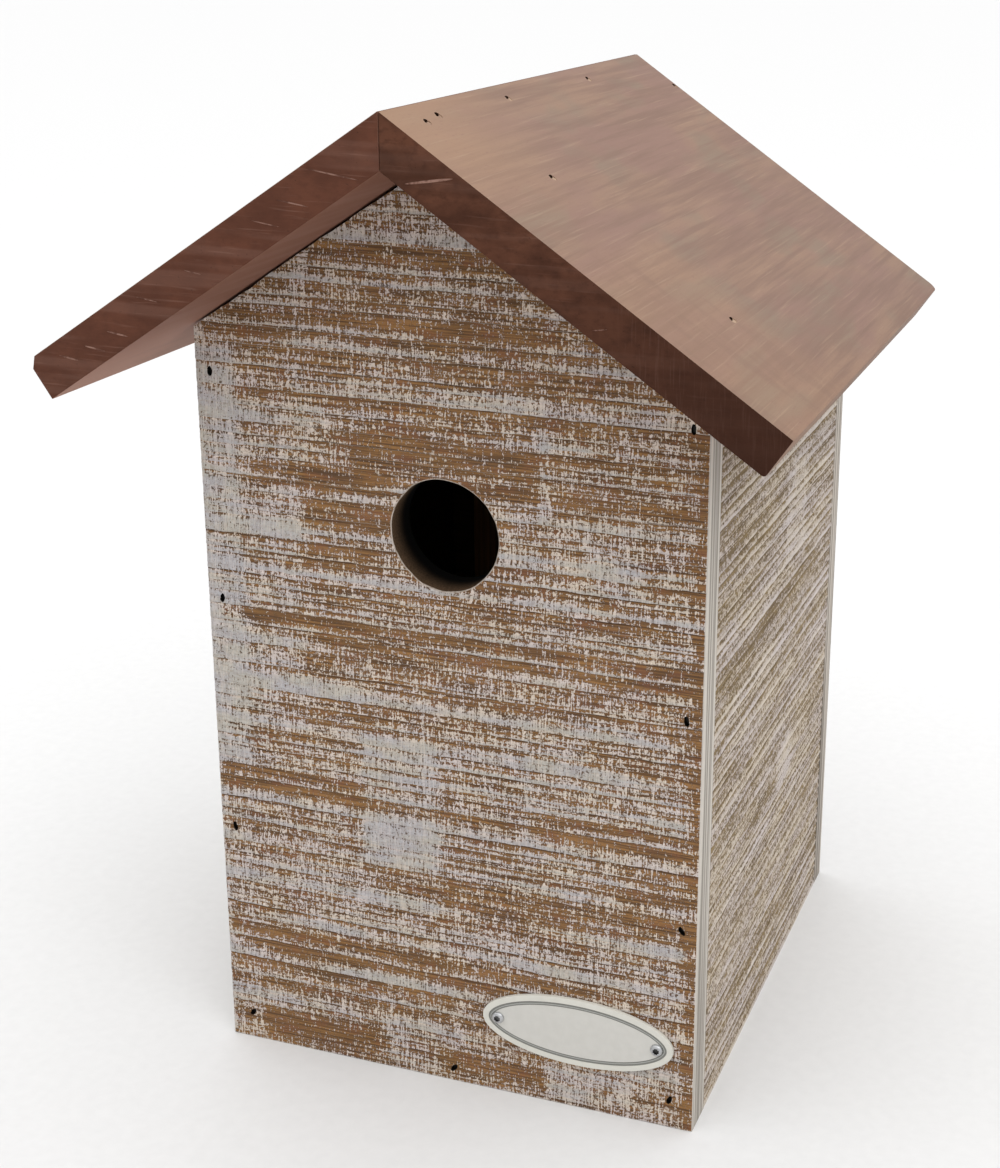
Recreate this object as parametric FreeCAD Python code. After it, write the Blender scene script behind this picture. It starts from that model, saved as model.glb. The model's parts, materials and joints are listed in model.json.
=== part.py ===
import FreeCAD, Part
import math
import os

# Bird nest box of nailed boards under a gabled roof, with a cleaning hatch in its back.
# Millimetres. Origin at the middle of the base, +Z up, the front looks along -Y.

# Box
box_width = 150.0
box_depth = 162.0
ridge_height = 292.0
front_thickness = 12.0
back_thickness = 9.0
side_thickness = 9.0
floor_thickness = 9.0

# Entrance
entrance_diameter = 32.0
entrance_height = 174.0

# Drain holes in the floor
drain_diameter = 5.0
drain_inset = 26.0

# Roof
roof_pitch = 34.0
roof_thickness = 12.0
roof_slope_length = 126.5
roof_front_overhang = 33.5
roof_back_setback = 2.5

# Brads, driven by hand, so their places are uneven
brad_diameter = 1.4
brad_length = 28.0
brad_tip_length = 2.5
brad_head_diameter = 2.0
brad_head_height = 0.9
brad_sink = 1.2
ridge_brad_length = 17.0
hole_clearance = 0.05
hole_relief = 0.4

# Brads in the walls: heights from the base, and the drop of the top one below the eaves of the wall
corner_brad_height = 9.0
corner_brad_drift = 2.6
front_left_brad_heights = (72.8, 146.5)
front_left_top_brad_drop = 13.0
front_right_brad_heights = (65.3, 129.5)
front_right_top_brad_drop = 15.5
back_left_brad_heights = (70.0, 139.0)
back_left_top_brad_drop = 14.0
back_right_brad_heights = (68.0, 135.0)
back_right_top_brad_drop = 14.5

# Brads in the roof: distance down the slope from the ridge, and along the ridge from the front wall
ridge_brad_slope = 5.0
ridge_brad_runs = (-9.2, 36.6, 100.0)
roof_brad_drift = 1.6
right_roof_front_brad_slopes = (34.0, 93.3)
left_roof_front_brad_slopes = (34.0, 93.3)
right_roof_back_brad_slopes = (16.5, 93.3)
left_roof_back_brad_slopes = (36.0, 93.3)

# Oval plate and its screws
plate_length = 59.0
plate_height = 22.0
plate_thickness = 1.0
plate_centre_x = 39.6
plate_centre_height = 26.0
plate_screw_pitch = 49.2
plate_screw_diameter = 1.8
plate_screw_length = 8.0
plate_screw_head_diameter = 3.8
plate_screw_head_height = 1.0

# Cleaning hatch in the back
hatch_side_margin = 27.0
hatch_bottom_margin = 24.0
hatch_height = 117.0
hatch_gap = 1.5

# Battens glued inside the back, which stop the hatch
batten_width = 12.0
batten_thickness = 5.0
batten_overlap = 4.0

# Butt hinges of the hatch
hinge_length = 30.0
hinge_inset = 27.0
leaf_width = 14.0
leaf_thickness = 1.0
knuckle_diameter = 4.0
knuckle_end_gap = 0.3
knuckle_wall_gap = 0.3
knuckle_side_gap = 0.4
pin_diameter = 2.0
pin_head_diameter = 3.0
pin_head_height = 0.7
pin_clearance = 0.05
hinge_screw_inset = 8.5
hinge_screw_pitch = 17.0
hinge_screw_diameter = 2.0
hinge_screw_head_diameter = 3.8
hinge_screw_length = 7.5

# Turn button that holds the hatch shut
button_length = 34.0
button_width = 12.0
button_thickness = 2.5
button_edge_distance = 9.5
button_head_gap = 0.1
washer_diameter = 9.0
washer_thickness = 0.8
button_screw_diameter = 3.0
button_screw_length = 12.0
button_screw_head_diameter = 6.4
button_screw_head_height = 2.0

# Hanger plate with the hole for a wall screw
hanger_length = 54.0
hanger_width = 18.0
hanger_thickness = 1.5
hanger_hole_diameter = 8.0
hanger_drop = 42.0
hanger_screw_pitch = 38.0
hanger_screw_diameter = 2.5
hanger_screw_head_diameter = 4.6
hanger_screw_length = 9.0

# Screw heads
recess_width = 0.7
recess_depth = 0.6
recess_share = 0.6

# Values worked out from the sizes above
pitch = math.radians(roof_pitch)
half_width = box_width / 2
front_y = -box_depth / 2
back_y = box_depth / 2
front_inner_y = front_y + front_thickness
back_inner_y = back_y - back_thickness
side_inner_x = half_width - side_thickness
side_middle_x = half_width - side_thickness / 2
peak_height = ridge_height - roof_thickness / math.cos(pitch)
eaves_height = peak_height - half_width * math.tan(pitch)
roof_front_y = front_y - roof_front_overhang
roof_back_y = back_y - roof_back_setback
hatch_opening_x = half_width - hatch_side_margin
hatch_opening_top = hatch_bottom_margin + hatch_height + 2 * hatch_gap
hinge_axis_x = -hatch_opening_x + hatch_gap / 2
hinge_axis_offset = knuckle_diameter / 2 + knuckle_wall_gap
hinge_heights = (hatch_bottom_margin + hinge_inset, hatch_opening_top - hinge_inset)
button_x = hatch_opening_x + button_edge_distance
button_height = (hatch_bottom_margin + hatch_opening_top) / 2
button_under_y = back_y + washer_thickness
button_top_y = button_under_y + button_thickness
hanger_height = peak_height - hanger_drop

Vec = FreeCAD.Vector
INTO_FRONT = Vec(0, 1, 0)
INTO_BACK = Vec(0, -1, 0)
UP = Vec(0, 0, 1)


def box_between(low, high):
    size = high - low
    return Part.makeBox(size.x, size.y, size.z, low)


def prism(points, first_y, last_y):
    """Extrude an outline of (x, z) points from one y to another."""
    corners = [Vec(x, first_y, z) for x, z in points]
    outline = Part.makePolygon(corners + corners[:1])
    return Part.Face(outline).extrude(Vec(0, last_y - first_y, 0))


def turned(profile, point, direction):
    """Turn an outline of (radius, depth) points about a line that goes into the wood."""
    corners = [Vec(radius, 0, depth) for radius, depth in profile]
    outline = Part.makePolygon(corners + corners[:1])
    solid = Part.Face(outline).revolve(Vec(0, 0, 0), UP, 360)
    solid.Placement = FreeCAD.Placement(point, FreeCAD.Rotation(UP, direction))
    return solid


def rod(diameter, point, direction, length):
    return Part.makeCylinder(diameter / 2, length, point, direction)


def rounded_bar(length, width, thickness, centre, along):
    """Bar with half-round ends that lies in the XZ plane, its inner face at the centre point."""
    across = along.cross(Vec(0, 1, 0))
    half_run = along * ((length - width) / 2)
    half_side = across * (width / 2)
    end_tip = along * (length / 2)
    edges = [
        Part.LineSegment(centre - half_run + half_side, centre + half_run + half_side).toShape(),
        Part.Arc(centre + half_run + half_side, centre + end_tip, centre + half_run - half_side).toShape(),
        Part.LineSegment(centre + half_run - half_side, centre - half_run - half_side).toShape(),
        Part.Arc(centre - half_run - half_side, centre - end_tip, centre - half_run + half_side).toShape(),
    ]
    return Part.Face(Part.Wire(edges)).extrude(Vec(0, thickness, 0))


def cut_all(solid, cutters):
    """Take away each cutter that reaches the solid."""
    for cutter in cutters:
        if solid.BoundBox.intersect(cutter.BoundBox):
            solid = solid.cut(cutter)
    return solid


def save(name, solids):
    """Write one sub-part, made of one solid or of several like ones."""
    shape = solids[0] if len(solids) == 1 else Part.makeCompound(solids)
    shape.exportStep("parts/" + name + ".step")


# Fasteners: each kind gives the piece itself and the hole that it needs
def brad(point, direction, length):
    shank = brad_diameter / 2
    head = brad_head_diameter / 2
    top = brad_sink
    neck = top + brad_head_height
    profile = (
        (0, top), (head, top), (shank, neck),
        (shank, top + length - brad_tip_length), (0, top + length),
    )
    return turned(profile, point, direction)


def brad_hole(point, direction, length):
    pilot = brad_diameter / 2 + hole_clearance
    mouth = brad_head_diameter / 2 + hole_clearance
    neck = brad_sink + brad_head_height
    end = brad_sink + length + hole_relief
    profile = ((0, -hole_relief), (mouth, -hole_relief), (mouth, neck), (pilot, neck), (pilot, end), (0, end))
    return turned(profile, point, direction)


def cross_recess(head_diameter, top_depth):
    arm = head_diameter * recess_share
    low = Vec(-arm / 2, -recess_width / 2, top_depth - recess_depth)
    high = Vec(arm / 2, recess_width / 2, top_depth + recess_depth)
    bar = box_between(low, high)
    other = bar.copy()
    other.rotate(Vec(0, 0, 0), UP, 90)
    return bar.fuse(other)


def flush_screw(diameter, head_diameter, length, point, direction):
    """Countersunk screw whose head lies level with the surface at the point."""
    shank = diameter / 2
    head = head_diameter / 2
    profile = ((0, 0), (head, 0), (shank, head - shank), (shank, length - diameter), (0, length))
    solid = turned(profile, Vec(0, 0, 0), UP).cut(cross_recess(head_diameter, 0))
    solid.Placement = FreeCAD.Placement(point, FreeCAD.Rotation(UP, direction))
    return solid


def flush_screw_hole(diameter, head_diameter, length, point, direction):
    shank = diameter / 2 + hole_clearance
    head = head_diameter / 2 + hole_clearance
    end = length + hole_relief
    profile = ((0, -hole_relief), (head, -hole_relief), (head, 0), (shank, head - shank), (shank, end), (0, end))
    return turned(profile, point, direction)


def dome_screw(diameter, head_diameter, head_height, length, point, direction):
    """Screw whose domed head stands on the surface at the point."""
    shank = diameter / 2
    head = head_diameter / 2
    dome_radius = (head ** 2 + head_height ** 2) / (2 * head_height)
    ball = Part.makeSphere(dome_radius, Vec(0, 0, dome_radius - head_height))
    dome = ball.common(Part.makeCylinder(head, head_height, Vec(0, 0, -head_height)))
    profile = ((0, 0), (shank, 0), (shank, length - diameter), (0, length))
    solid = dome.fuse(turned(profile, Vec(0, 0, 0), UP)).removeSplitter()
    solid = solid.cut(cross_recess(head_diameter, -head_height))
    solid.Placement = FreeCAD.Placement(point, FreeCAD.Rotation(UP, direction))
    return solid


def dome_screw_hole(diameter, length, point, direction):
    return rod(diameter + 2 * hole_clearance, point, direction, length + hole_relief)


# Where the fasteners go: each place is a point on a surface and the way into the wood
def wall_brad_places(side, face_y, direction, heights, top_drop):
    places = [(Vec(side * (side_middle_x - corner_brad_drift), face_y, corner_brad_height), direction)]
    for height in heights + (eaves_height - top_drop,):
        places.append((Vec(side * side_middle_x, face_y, height), direction))
    return places


def floor_brad_places(face_y, direction):
    return [(Vec(0, face_y, floor_thickness / 2), direction)]


def roof_point(side, slope, y):
    return Vec(side * slope * math.cos(pitch), y, ridge_height - slope * math.sin(pitch))


def into_roof(side):
    return Vec(-side * math.sin(pitch), 0, -math.cos(pitch))


def roof_brad_places(side, slopes, y):
    return [(roof_point(side, slope, y), into_roof(side)) for slope in slopes]


front_brad_y = front_y + front_thickness / 2 + roof_brad_drift
back_brad_y = back_y - back_thickness / 2
brad_groups = {
    "front_left_brads": wall_brad_places(
        -1, front_y, INTO_FRONT, front_left_brad_heights, front_left_top_brad_drop),
    "front_right_brads": wall_brad_places(
        1, front_y, INTO_FRONT, front_right_brad_heights, front_right_top_brad_drop),
    "front_floor_brad": floor_brad_places(front_y, INTO_FRONT),
    "back_left_brads": wall_brad_places(
        -1, back_y, INTO_BACK, back_left_brad_heights, back_left_top_brad_drop),
    "back_right_brads": wall_brad_places(
        1, back_y, INTO_BACK, back_right_brad_heights, back_right_top_brad_drop),
    "back_floor_brad": floor_brad_places(back_y, INTO_BACK),
    "left_roof_front_brads": roof_brad_places(-1, left_roof_front_brad_slopes, front_brad_y),
    "right_roof_front_brads": roof_brad_places(1, right_roof_front_brad_slopes, front_brad_y),
    "left_roof_back_brads": roof_brad_places(-1, left_roof_back_brad_slopes, back_brad_y),
    "right_roof_back_brads": roof_brad_places(1, right_roof_back_brad_slopes, back_brad_y),
}
ridge_brad_places = [
    (roof_point(1, ridge_brad_slope, front_y + run), into_roof(1)) for run in ridge_brad_runs
]
plate_screw_points = [
    Vec(plate_centre_x + side * plate_screw_pitch / 2, front_y - plate_thickness, plate_centre_height)
    for side in (-1, 1)
]
hanger_screw_points = [
    Vec(side * hanger_screw_pitch / 2, back_y + hanger_thickness, hanger_height) for side in (-1, 1)
]
button_screw_point = Vec(button_x, button_top_y + button_head_gap, button_height)


def hinge_screw_points(side):
    points = []
    for hinge_height in hinge_heights:
        for end in (-1, 1):
            x = hinge_axis_x + side * hinge_screw_inset
            points.append(Vec(x, back_y + leaf_thickness, hinge_height + end * hinge_screw_pitch / 2))
    return points


def hinge_screw_group(maker, side):
    return [
        maker(hinge_screw_diameter, hinge_screw_head_diameter, hinge_screw_length, point, INTO_BACK)
        for point in hinge_screw_points(side)
    ]


def hanger_screw_group(maker):
    return [
        maker(hanger_screw_diameter, hanger_screw_head_diameter, hanger_screw_length, point, INTO_BACK)
        for point in hanger_screw_points
    ]


frame_side = -1
hatch_side = 1
brad_holes = [brad_hole(point, way, brad_length) for places in brad_groups.values() for point, way in places]
brad_holes += [brad_hole(point, way, ridge_brad_length) for point, way in ridge_brad_places]
plate_screw_holes = [
    dome_screw_hole(plate_screw_diameter, plate_screw_length, point, INTO_FRONT) for point in plate_screw_points
]
button_screw_hole = dome_screw_hole(
    button_screw_diameter, button_screw_length, button_screw_point, INTO_BACK)
hanger_screw_holes = hanger_screw_group(flush_screw_hole)
frame_screw_holes = hinge_screw_group(flush_screw_hole, frame_side)
hatch_screw_holes = hinge_screw_group(flush_screw_hole, hatch_side)
hanger_hole = rod(
    hanger_hole_diameter, Vec(0, back_inner_y, hanger_height), Vec(0, 1, 0), back_thickness + hanger_thickness)


# Boards
def gable_outline():
    return [
        (-half_width, 0), (half_width, 0), (half_width, eaves_height),
        (0, peak_height), (-half_width, eaves_height),
    ]


def front_panel():
    board = prism(gable_outline(), front_y, front_inner_y)
    entrance = rod(entrance_diameter, Vec(0, front_y, entrance_height), INTO_FRONT, front_thickness)
    return cut_all(board, [entrance] + brad_holes + plate_screw_holes)


def back_panel():
    board = prism(gable_outline(), back_inner_y, back_y)
    opening = box_between(
        Vec(-hatch_opening_x, back_inner_y, hatch_bottom_margin), Vec(hatch_opening_x, back_y, hatch_opening_top))
    fastener_holes = brad_holes + frame_screw_holes + hanger_screw_holes + [button_screw_hole]
    return cut_all(board, [opening, hanger_hole] + fastener_holes)


def side_panel(side):
    inner_top = eaves_height + side_thickness * math.tan(pitch)
    outline = [
        (side * side_inner_x, 0), (side * half_width, 0),
        (side * half_width, eaves_height), (side * side_inner_x, inner_top),
    ]
    return cut_all(prism(outline, front_inner_y, back_inner_y), brad_holes)


def floor_panel():
    board = box_between(Vec(-side_inner_x, front_inner_y, 0), Vec(side_inner_x, back_inner_y, floor_thickness))
    drains = [
        rod(drain_diameter, Vec(x, y, 0), UP, floor_thickness)
        for x in (-side_inner_x + drain_inset, side_inner_x - drain_inset)
        for y in (front_inner_y + drain_inset, back_inner_y - drain_inset)
    ]
    return cut_all(board, drains + brad_holes)


def roof_board(side):
    eave = roof_point(side, roof_slope_length, 0)
    under_eave = eave + into_roof(side) * roof_thickness
    outline = [(0, ridge_height), (eave.x, eave.z), (under_eave.x, under_eave.z), (0, peak_height)]
    return cut_all(prism(outline, roof_front_y, roof_back_y), brad_holes)


def cleaning_hatch():
    low = Vec(-hatch_opening_x + hatch_gap, back_inner_y, hatch_bottom_margin + hatch_gap)
    high = Vec(hatch_opening_x - hatch_gap, back_y, hatch_opening_top - hatch_gap)
    return cut_all(box_between(low, high), hatch_screw_holes)


def hatch_stop_battens():
    """Two uprights beside the hatch opening and two rails between them."""
    lip_x = hatch_opening_x - batten_overlap
    lip_bottom = hatch_bottom_margin + batten_overlap
    lip_top = hatch_opening_top - batten_overlap
    first_y = back_inner_y - batten_thickness
    battens = []
    for left_x in (-lip_x - batten_width, lip_x):
        low = Vec(left_x, first_y, lip_bottom - batten_width)
        high = Vec(left_x + batten_width, back_inner_y, lip_top + batten_width)
        battens.append(box_between(low, high))
    for low_z in (lip_bottom - batten_width, lip_top):
        low = Vec(-lip_x, first_y, low_z)
        battens.append(box_between(low, Vec(lip_x, back_inner_y, low_z + batten_width)))
    return battens


# Fittings
def oval_plate():
    centre = Vec(plate_centre_x, front_y - plate_thickness, plate_centre_height)
    long_tip = centre + Vec(plate_length / 2, 0, 0)
    short_tip = centre + Vec(0, 0, plate_height / 2)
    outline = Part.Wire([Part.Ellipse(long_tip, short_tip, centre).toShape()])
    plate = Part.Face(outline).extrude(Vec(0, plate_thickness, 0))
    return cut_all(plate, plate_screw_holes)


def hanger_plate():
    centre = Vec(0, back_y, hanger_height)
    plate = rounded_bar(hanger_length, hanger_width, hanger_thickness, centre, Vec(1, 0, 0))
    return cut_all(plate, [hanger_hole] + hanger_screw_holes)


def hinge_leaf(side, hinge_height, first_knuckle):
    """Leaf with every second knuckle of three, so that the other leaf's knuckles fit between."""
    axis = Vec(hinge_axis_x, back_y + hinge_axis_offset, hinge_height - hinge_length / 2)
    knuckle_length = (hinge_length - 2 * knuckle_end_gap) / 3
    knuckle_pitch = knuckle_length + knuckle_end_gap
    clear_x = knuckle_diameter / 2 + knuckle_side_gap
    near = Vec(axis.x + side * clear_x, back_y, axis.z)
    far = Vec(axis.x + side * leaf_width, back_y + leaf_thickness, axis.z + hinge_length)
    leaf = box_between(Vec(min(near.x, far.x), near.y, near.z), Vec(max(near.x, far.x), far.y, far.z))
    root_x = axis.x + side * hatch_gap / 2
    for knuckle in range(first_knuckle, 3, 2):
        low_z = axis.z + knuckle * knuckle_pitch
        tab_low = Vec(min(root_x, near.x), back_y, low_z)
        tab_high = Vec(max(root_x, near.x), back_y + leaf_thickness, low_z + knuckle_length)
        barrel = rod(knuckle_diameter, Vec(axis.x, axis.y, low_z), UP, knuckle_length)
        leaf = leaf.fuse(box_between(tab_low, tab_high)).fuse(barrel)
    bore = rod(pin_diameter + 2 * pin_clearance, axis, UP, hinge_length)
    screw_holes = frame_screw_holes if side == frame_side else hatch_screw_holes
    return cut_all(leaf.removeSplitter(), [bore] + screw_holes)


def hinge_pin(hinge_height):
    axis = Vec(hinge_axis_x, back_y + hinge_axis_offset, hinge_height - hinge_length / 2)
    pin = rod(pin_diameter, axis, UP, hinge_length)
    for foot in (axis - UP * pin_head_height, axis + UP * hinge_length):
        pin = pin.fuse(rod(pin_head_diameter, foot, UP, pin_head_height))
    return pin.removeSplitter()


def turn_button():
    centre = Vec(button_x, button_under_y, button_height)
    bar = rounded_bar(button_length, button_width, button_thickness, centre, UP)
    return cut_all(bar, [button_screw_hole])


def turn_button_washer():
    disc = rod(washer_diameter, Vec(button_x, back_y, button_height), Vec(0, 1, 0), washer_thickness)
    return cut_all(disc, [button_screw_hole])


os.makedirs("parts", exist_ok=True)
save("front_panel", [front_panel()])
save("back_panel", [back_panel()])
save("left_side_panel", [side_panel(-1)])
save("right_side_panel", [side_panel(1)])
save("floor_panel", [floor_panel()])
save("left_roof_board", [roof_board(-1)])
save("right_roof_board", [roof_board(1)])
save("cleaning_hatch", [cleaning_hatch()])
save("hatch_stop_battens", hatch_stop_battens())
for group_name, group_places in brad_groups.items():
    save(group_name, [brad(point, way, brad_length) for point, way in group_places])
save("ridge_brads", [brad(point, way, ridge_brad_length) for point, way in ridge_brad_places])
save("oval_plate", [oval_plate()])
save("oval_plate_screws", [
    dome_screw(
        plate_screw_diameter, plate_screw_head_diameter, plate_screw_head_height, plate_screw_length,
        point, INTO_FRONT)
    for point in plate_screw_points
])
save("hanger_plate", [hanger_plate()])
save("hanger_screws", hanger_screw_group(flush_screw))
for hinge_name, hinge_height in zip(("lower", "upper"), hinge_heights):
    save(hinge_name + "_hinge_frame_leaf", [hinge_leaf(frame_side, hinge_height, 0)])
    save(hinge_name + "_hinge_hatch_leaf", [hinge_leaf(hatch_side, hinge_height, 1)])
    save(hinge_name + "_hinge_pin", [hinge_pin(hinge_height)])
save("hinge_frame_screws", hinge_screw_group(flush_screw, frame_side))
save("hinge_hatch_screws", hinge_screw_group(flush_screw, hatch_side))
save("turn_button", [turn_button()])
save("turn_button_washer", [turn_button_washer()])
save("turn_button_screw", [
    dome_screw(
        button_screw_diameter, button_screw_head_diameter, button_screw_head_height, button_screw_length,
        button_screw_point, INTO_BACK)
])
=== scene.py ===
import json
import math
import random
from bisect import bisect_right
from collections import namedtuple

import bmesh
import bpy
from bpy.props import FloatProperty, FloatVectorProperty, IntProperty, PointerProperty
from mathutils import Matrix, Vector, noise


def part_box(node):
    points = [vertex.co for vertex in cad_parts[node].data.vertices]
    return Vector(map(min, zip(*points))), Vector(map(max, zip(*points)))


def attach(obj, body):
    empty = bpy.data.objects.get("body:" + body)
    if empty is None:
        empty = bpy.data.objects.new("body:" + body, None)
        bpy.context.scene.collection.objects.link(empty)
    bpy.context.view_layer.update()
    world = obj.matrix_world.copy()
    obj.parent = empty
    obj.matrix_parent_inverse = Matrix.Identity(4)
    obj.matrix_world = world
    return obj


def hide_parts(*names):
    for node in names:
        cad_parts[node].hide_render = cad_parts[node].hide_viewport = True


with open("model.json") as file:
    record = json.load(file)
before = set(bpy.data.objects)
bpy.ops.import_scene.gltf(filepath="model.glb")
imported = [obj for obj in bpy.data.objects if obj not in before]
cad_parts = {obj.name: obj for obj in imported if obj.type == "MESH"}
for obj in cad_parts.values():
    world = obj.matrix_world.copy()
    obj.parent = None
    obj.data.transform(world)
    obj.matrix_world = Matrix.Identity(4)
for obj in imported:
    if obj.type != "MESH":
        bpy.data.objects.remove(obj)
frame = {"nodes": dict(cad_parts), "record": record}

bl_info = {
    "name": "Bird nest box",
    "version": (1, 0, 0),
    "blender": (4, 5, 0),
    "location": "3D View > Sidebar > Nest box",
    "description": "Dresses a nest box in rough-sawn whitewashed boards under a stained roof",
    "category": "Object",
}

MM = 0.001
SAME = 0.01 * MM  # places closer than this are one place
WELD = 0.001 * MM  # corners closer than this are merged
MARGIN = 1 * MM  # how far a cutter, or a test for an edge, reaches past a face
FACING = 0.9  # least cosine between a face's normal and the way that it looks
MOSTLY = 0.6  # the same for a face that looks roughly that way
SHARP = math.radians(50)  # edges sharper than this are rounded
SMOOTH = math.radians(32)  # edges flatter than this are shaded smooth
UP = Vector((0, 0, 1))
TO_FRONT = Vector((0, -1, 0))
TO_BACK = Vector((0, 1, 0))
TO_LEFT = Vector((-1, 0, 0))
TO_RIGHT = Vector((1, 0, 0))

# Sizes that come from the frame
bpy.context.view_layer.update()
FRONT_LOW, FRONT_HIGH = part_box("front_panel")
BACK_LOW, BACK_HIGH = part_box("back_panel")
ROOF_LOW, ROOF_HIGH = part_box("right_roof_board")
PEAK = FRONT_HIGH.z
EAVES = max(vertex.co.z for vertex in frame["nodes"]["front_panel"].data.vertices
            if vertex.co.x > FRONT_HIGH.x - SAME)
PITCH = math.atan2(PEAK - EAVES, FRONT_HIGH.x)
RIDGE = ROOF_HIGH.z
ROOF_THICKNESS = (RIDGE - PEAK) * math.cos(PITCH)
ROOF_SLOPE = ROOF_HIGH.x / math.cos(PITCH)
ENTRANCE = next(m for m in frame["record"]["mounts"] if m["name"] == "entrance_hole")
HANGING = next(m for m in frame["record"]["mounts"] if m["name"] == "hanging_hole")

# Saw strokes on the front, in millimetres: height of a stroke's lower edge, and of the white bar on it
FRONT_STROKES = (
    (0, 0.5), (12.9, 5.2), (22.5, 0.7), (29, 3.2), (35.6, 1.2), (42.8, 2.4), (47.4, 1.2), (50, 0.9),
    (52.2, 0.7), (55, 4.2), (61.2, 1.8), (64.6, 0.6), (68.5, 3.4), (73.3, 0.9), (75.8, 0.8),
    (78.9, 0.9), (83.2, 3.4), (90.1, 0.8), (94.3, 1.4), (96.8, 1.9), (100.2, 0.8), (103.6, 1.1),
    (107.2, 3.5), (112.9, 0.7), (116.2, 0.5), (119.8, 4.6), (127.5, 0.8), (134, 2.2), (139.8, 0.9),
    (144.7, 0.9), (147, 1.0), (149.3, 0.7), (152, 1.0), (155.2, 3.8), (162.5, 0.5), (167.3, 4.0),
    (174.5, 0.6), (180.5, 2.4), (184.8, 0.8), (190.6, 0.8), (193.6, 0.8), (196.9, 0.8), (200.6, 3.0),
    (205.2, 0.7), (210.6, 4.4), (217, 0.6), (222.8, 2.8), (228, 1.0), (234.4, 1.3), (237.4, 0.9),
    (241.8, 1.0), (245.8, 1.8), (253, 5.0), (262, 0.8), (268, 1.0), (290, 1.0),
)

# Places along the front, in millimetres from the left, where the brush was set down afresh
FRONT_LIFTS = (0, 14.5, 31, 47.5, 52, 71.5, 98, 103.5, 118, 134, 146)

# Where the brush pressed more, or less, on the front: middle and half size, along and up, in millimetres from
# the lower left corner, and how much white
FRONT_BRUSHING = (
    (4, 158, 8, 64, 0.55), (20, 178, 11, 30, 0.16), (22, 170, 8, 3, 0.40), (36, 204, 4, 6, 0.30),
    (20, 128, 14, 12, 0.16), (59.5, 77, 12, 7, 0.75), (59.5, 98, 12, 10, 0.28), (38, 62, 12, 8, 0.16),
    (124, 171, 9, 9, 0.22), (118, 8, 14, 4, 0.45), (56, 9, 4, 4, 0.30), (64, 258, 22, 4, 0.20),
    (104.2, 195, 0.9, 14, 0.60), (99, 96, 0.6, 28, 0.35), (15.6, 118, 0.4, 20, 0.35),
    (32, 216, 0.7, 30, 0.35), (68, 110, 0.5, 26, 0.25), (8.6, 40, 0.4, 34, 0.25),
    (134.5, 10, 0.7, 8, 0.35), (62, 188.5, 5, 2, 0.25), (88, 188.5, 5, 2, 0.18),
    (75, 193, 28, 7.5, -0.42), (38, 186.5, 22, 3, -0.36), (46, 176, 14, 4, -0.34),
    (42, 163, 12, 3, -0.30), (46, 169, 13, 3, -0.22), (46, 174, 15, 14, -0.10), (66, 154, 36, 8, -0.10),
    (74, 199, 29, 9, -0.06), (80, 142.4, 76, 1.6, -0.62), (92, 137.6, 60, 1.1, -0.55),
    (34, 130, 5, 4, -0.34), (36, 116, 14, 3, -0.26), (24, 92.8, 23.5, 1.6, -0.62),
    (121, 92.8, 17, 1.5, -0.52), (24, 88.4, 23.5, 1.4, -0.55), (124, 88.6, 24, 1.3, -0.50),
    (26, 105.4, 21, 1.2, -0.50), (88, 105.8, 9, 0.8, -0.34), (86, 80, 13, 3, -0.24),
    (112, 64, 40, 4, -0.28), (138, 72, 10, 12, -0.28), (60, 39.1, 60, 1.4, -0.55),
    (50, 34, 44, 1.4, -0.60), (40, 27.8, 36, 0.9, -0.40), (31, 7, 20, 5, -0.55), (88, 6, 17, 4, -0.40),
    (66, 249.5, 28, 2.6, -0.34), (80, 231.5, 30, 2.2, -0.34), (96, 220, 24, 2, -0.20),
    (75, 238, 75, 32, -0.09), (125, 194, 20, 9, -0.12), (148.7, 110, 1.4, 110, -0.60),
    (0.4, 115, 1.2, 115, 0.30),
)

# The same for the sides and for the back
SIDE_BRUSHING = (
    (90, 160, 13, 16, 0.21), (86, 75, 9, 8, 0.22), (80, 182, 70, 2, 0.10), (80, 118, 80, 1.5, 0.12),
    (95, 30, 66, 26, -0.05), (30, 165, 30, 2.5, -0.20), (24, 152, 24, 2, -0.14),
    (60, 134, 60, 3.5, -0.20), (52, 71, 22, 2.5, -0.20), (10, 200, 16, 24, -0.08),
)
BACK_BRUSHING = (
    (30, 200, 26, 22, 0.20), (118, 60, 20, 30, 0.22), (80, 110, 50, 6, 0.16), (75, 152, 75, 4, -0.36),
    (60, 40, 50, 5, -0.30), (110, 190, 30, 16, -0.22),
)

# How the brush whitened a board: its level of white, what the bars on the strokes add and the gaps below them
# take, the height of a gap in millimetres, and how much the fine stripes and the brush's touches differ
Brush = namedtuple("Brush", "level bar gap gap_height stripe patchy")
FRONT_BRUSH = Brush(level=0.37, bar=0.50, gap=0.40, gap_height=0.7, stripe=0.22, patchy=0.06)
SIDE_BRUSH = Brush(level=0.54, bar=0.38, gap=0.86, gap_height=0.8, stripe=0.16, patchy=0.035)
BACK_BRUSH = FRONT_BRUSH._replace(level=0.40)

# Drawn saw marks: height of the white bars in millimetres, and the share by which they differ
SIDE_BAR, SIDE_SPREAD = 0.7, 0.35
BACK_BAR, BACK_SPREAD = 1.8, 0.7
LONGEST_BOARD = 200  # millimetres that drawn brush strokes cover
BRUSH_RUN = (4, 24)  # shortest and longest stroke of the brush in millimetres

# Degrees that the torn pits over the brads lean, brad by brad
FRONT_TILTS = (-38, 4, -8, 0, -22, 32, 10, 0, -42)
BACK_TILTS = (30, 4, -12, 6, -28, 8, 0, -14, 40)
BRAD_SINK = 1.2 * MM  # depth that the brads are sunk
CLOSED_OVER = "right_roof_back_brads"  # the hole over the lowest of these has closed
Pit = namedtuple("Pit", "pit_width pit_length pit_depth")

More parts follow.
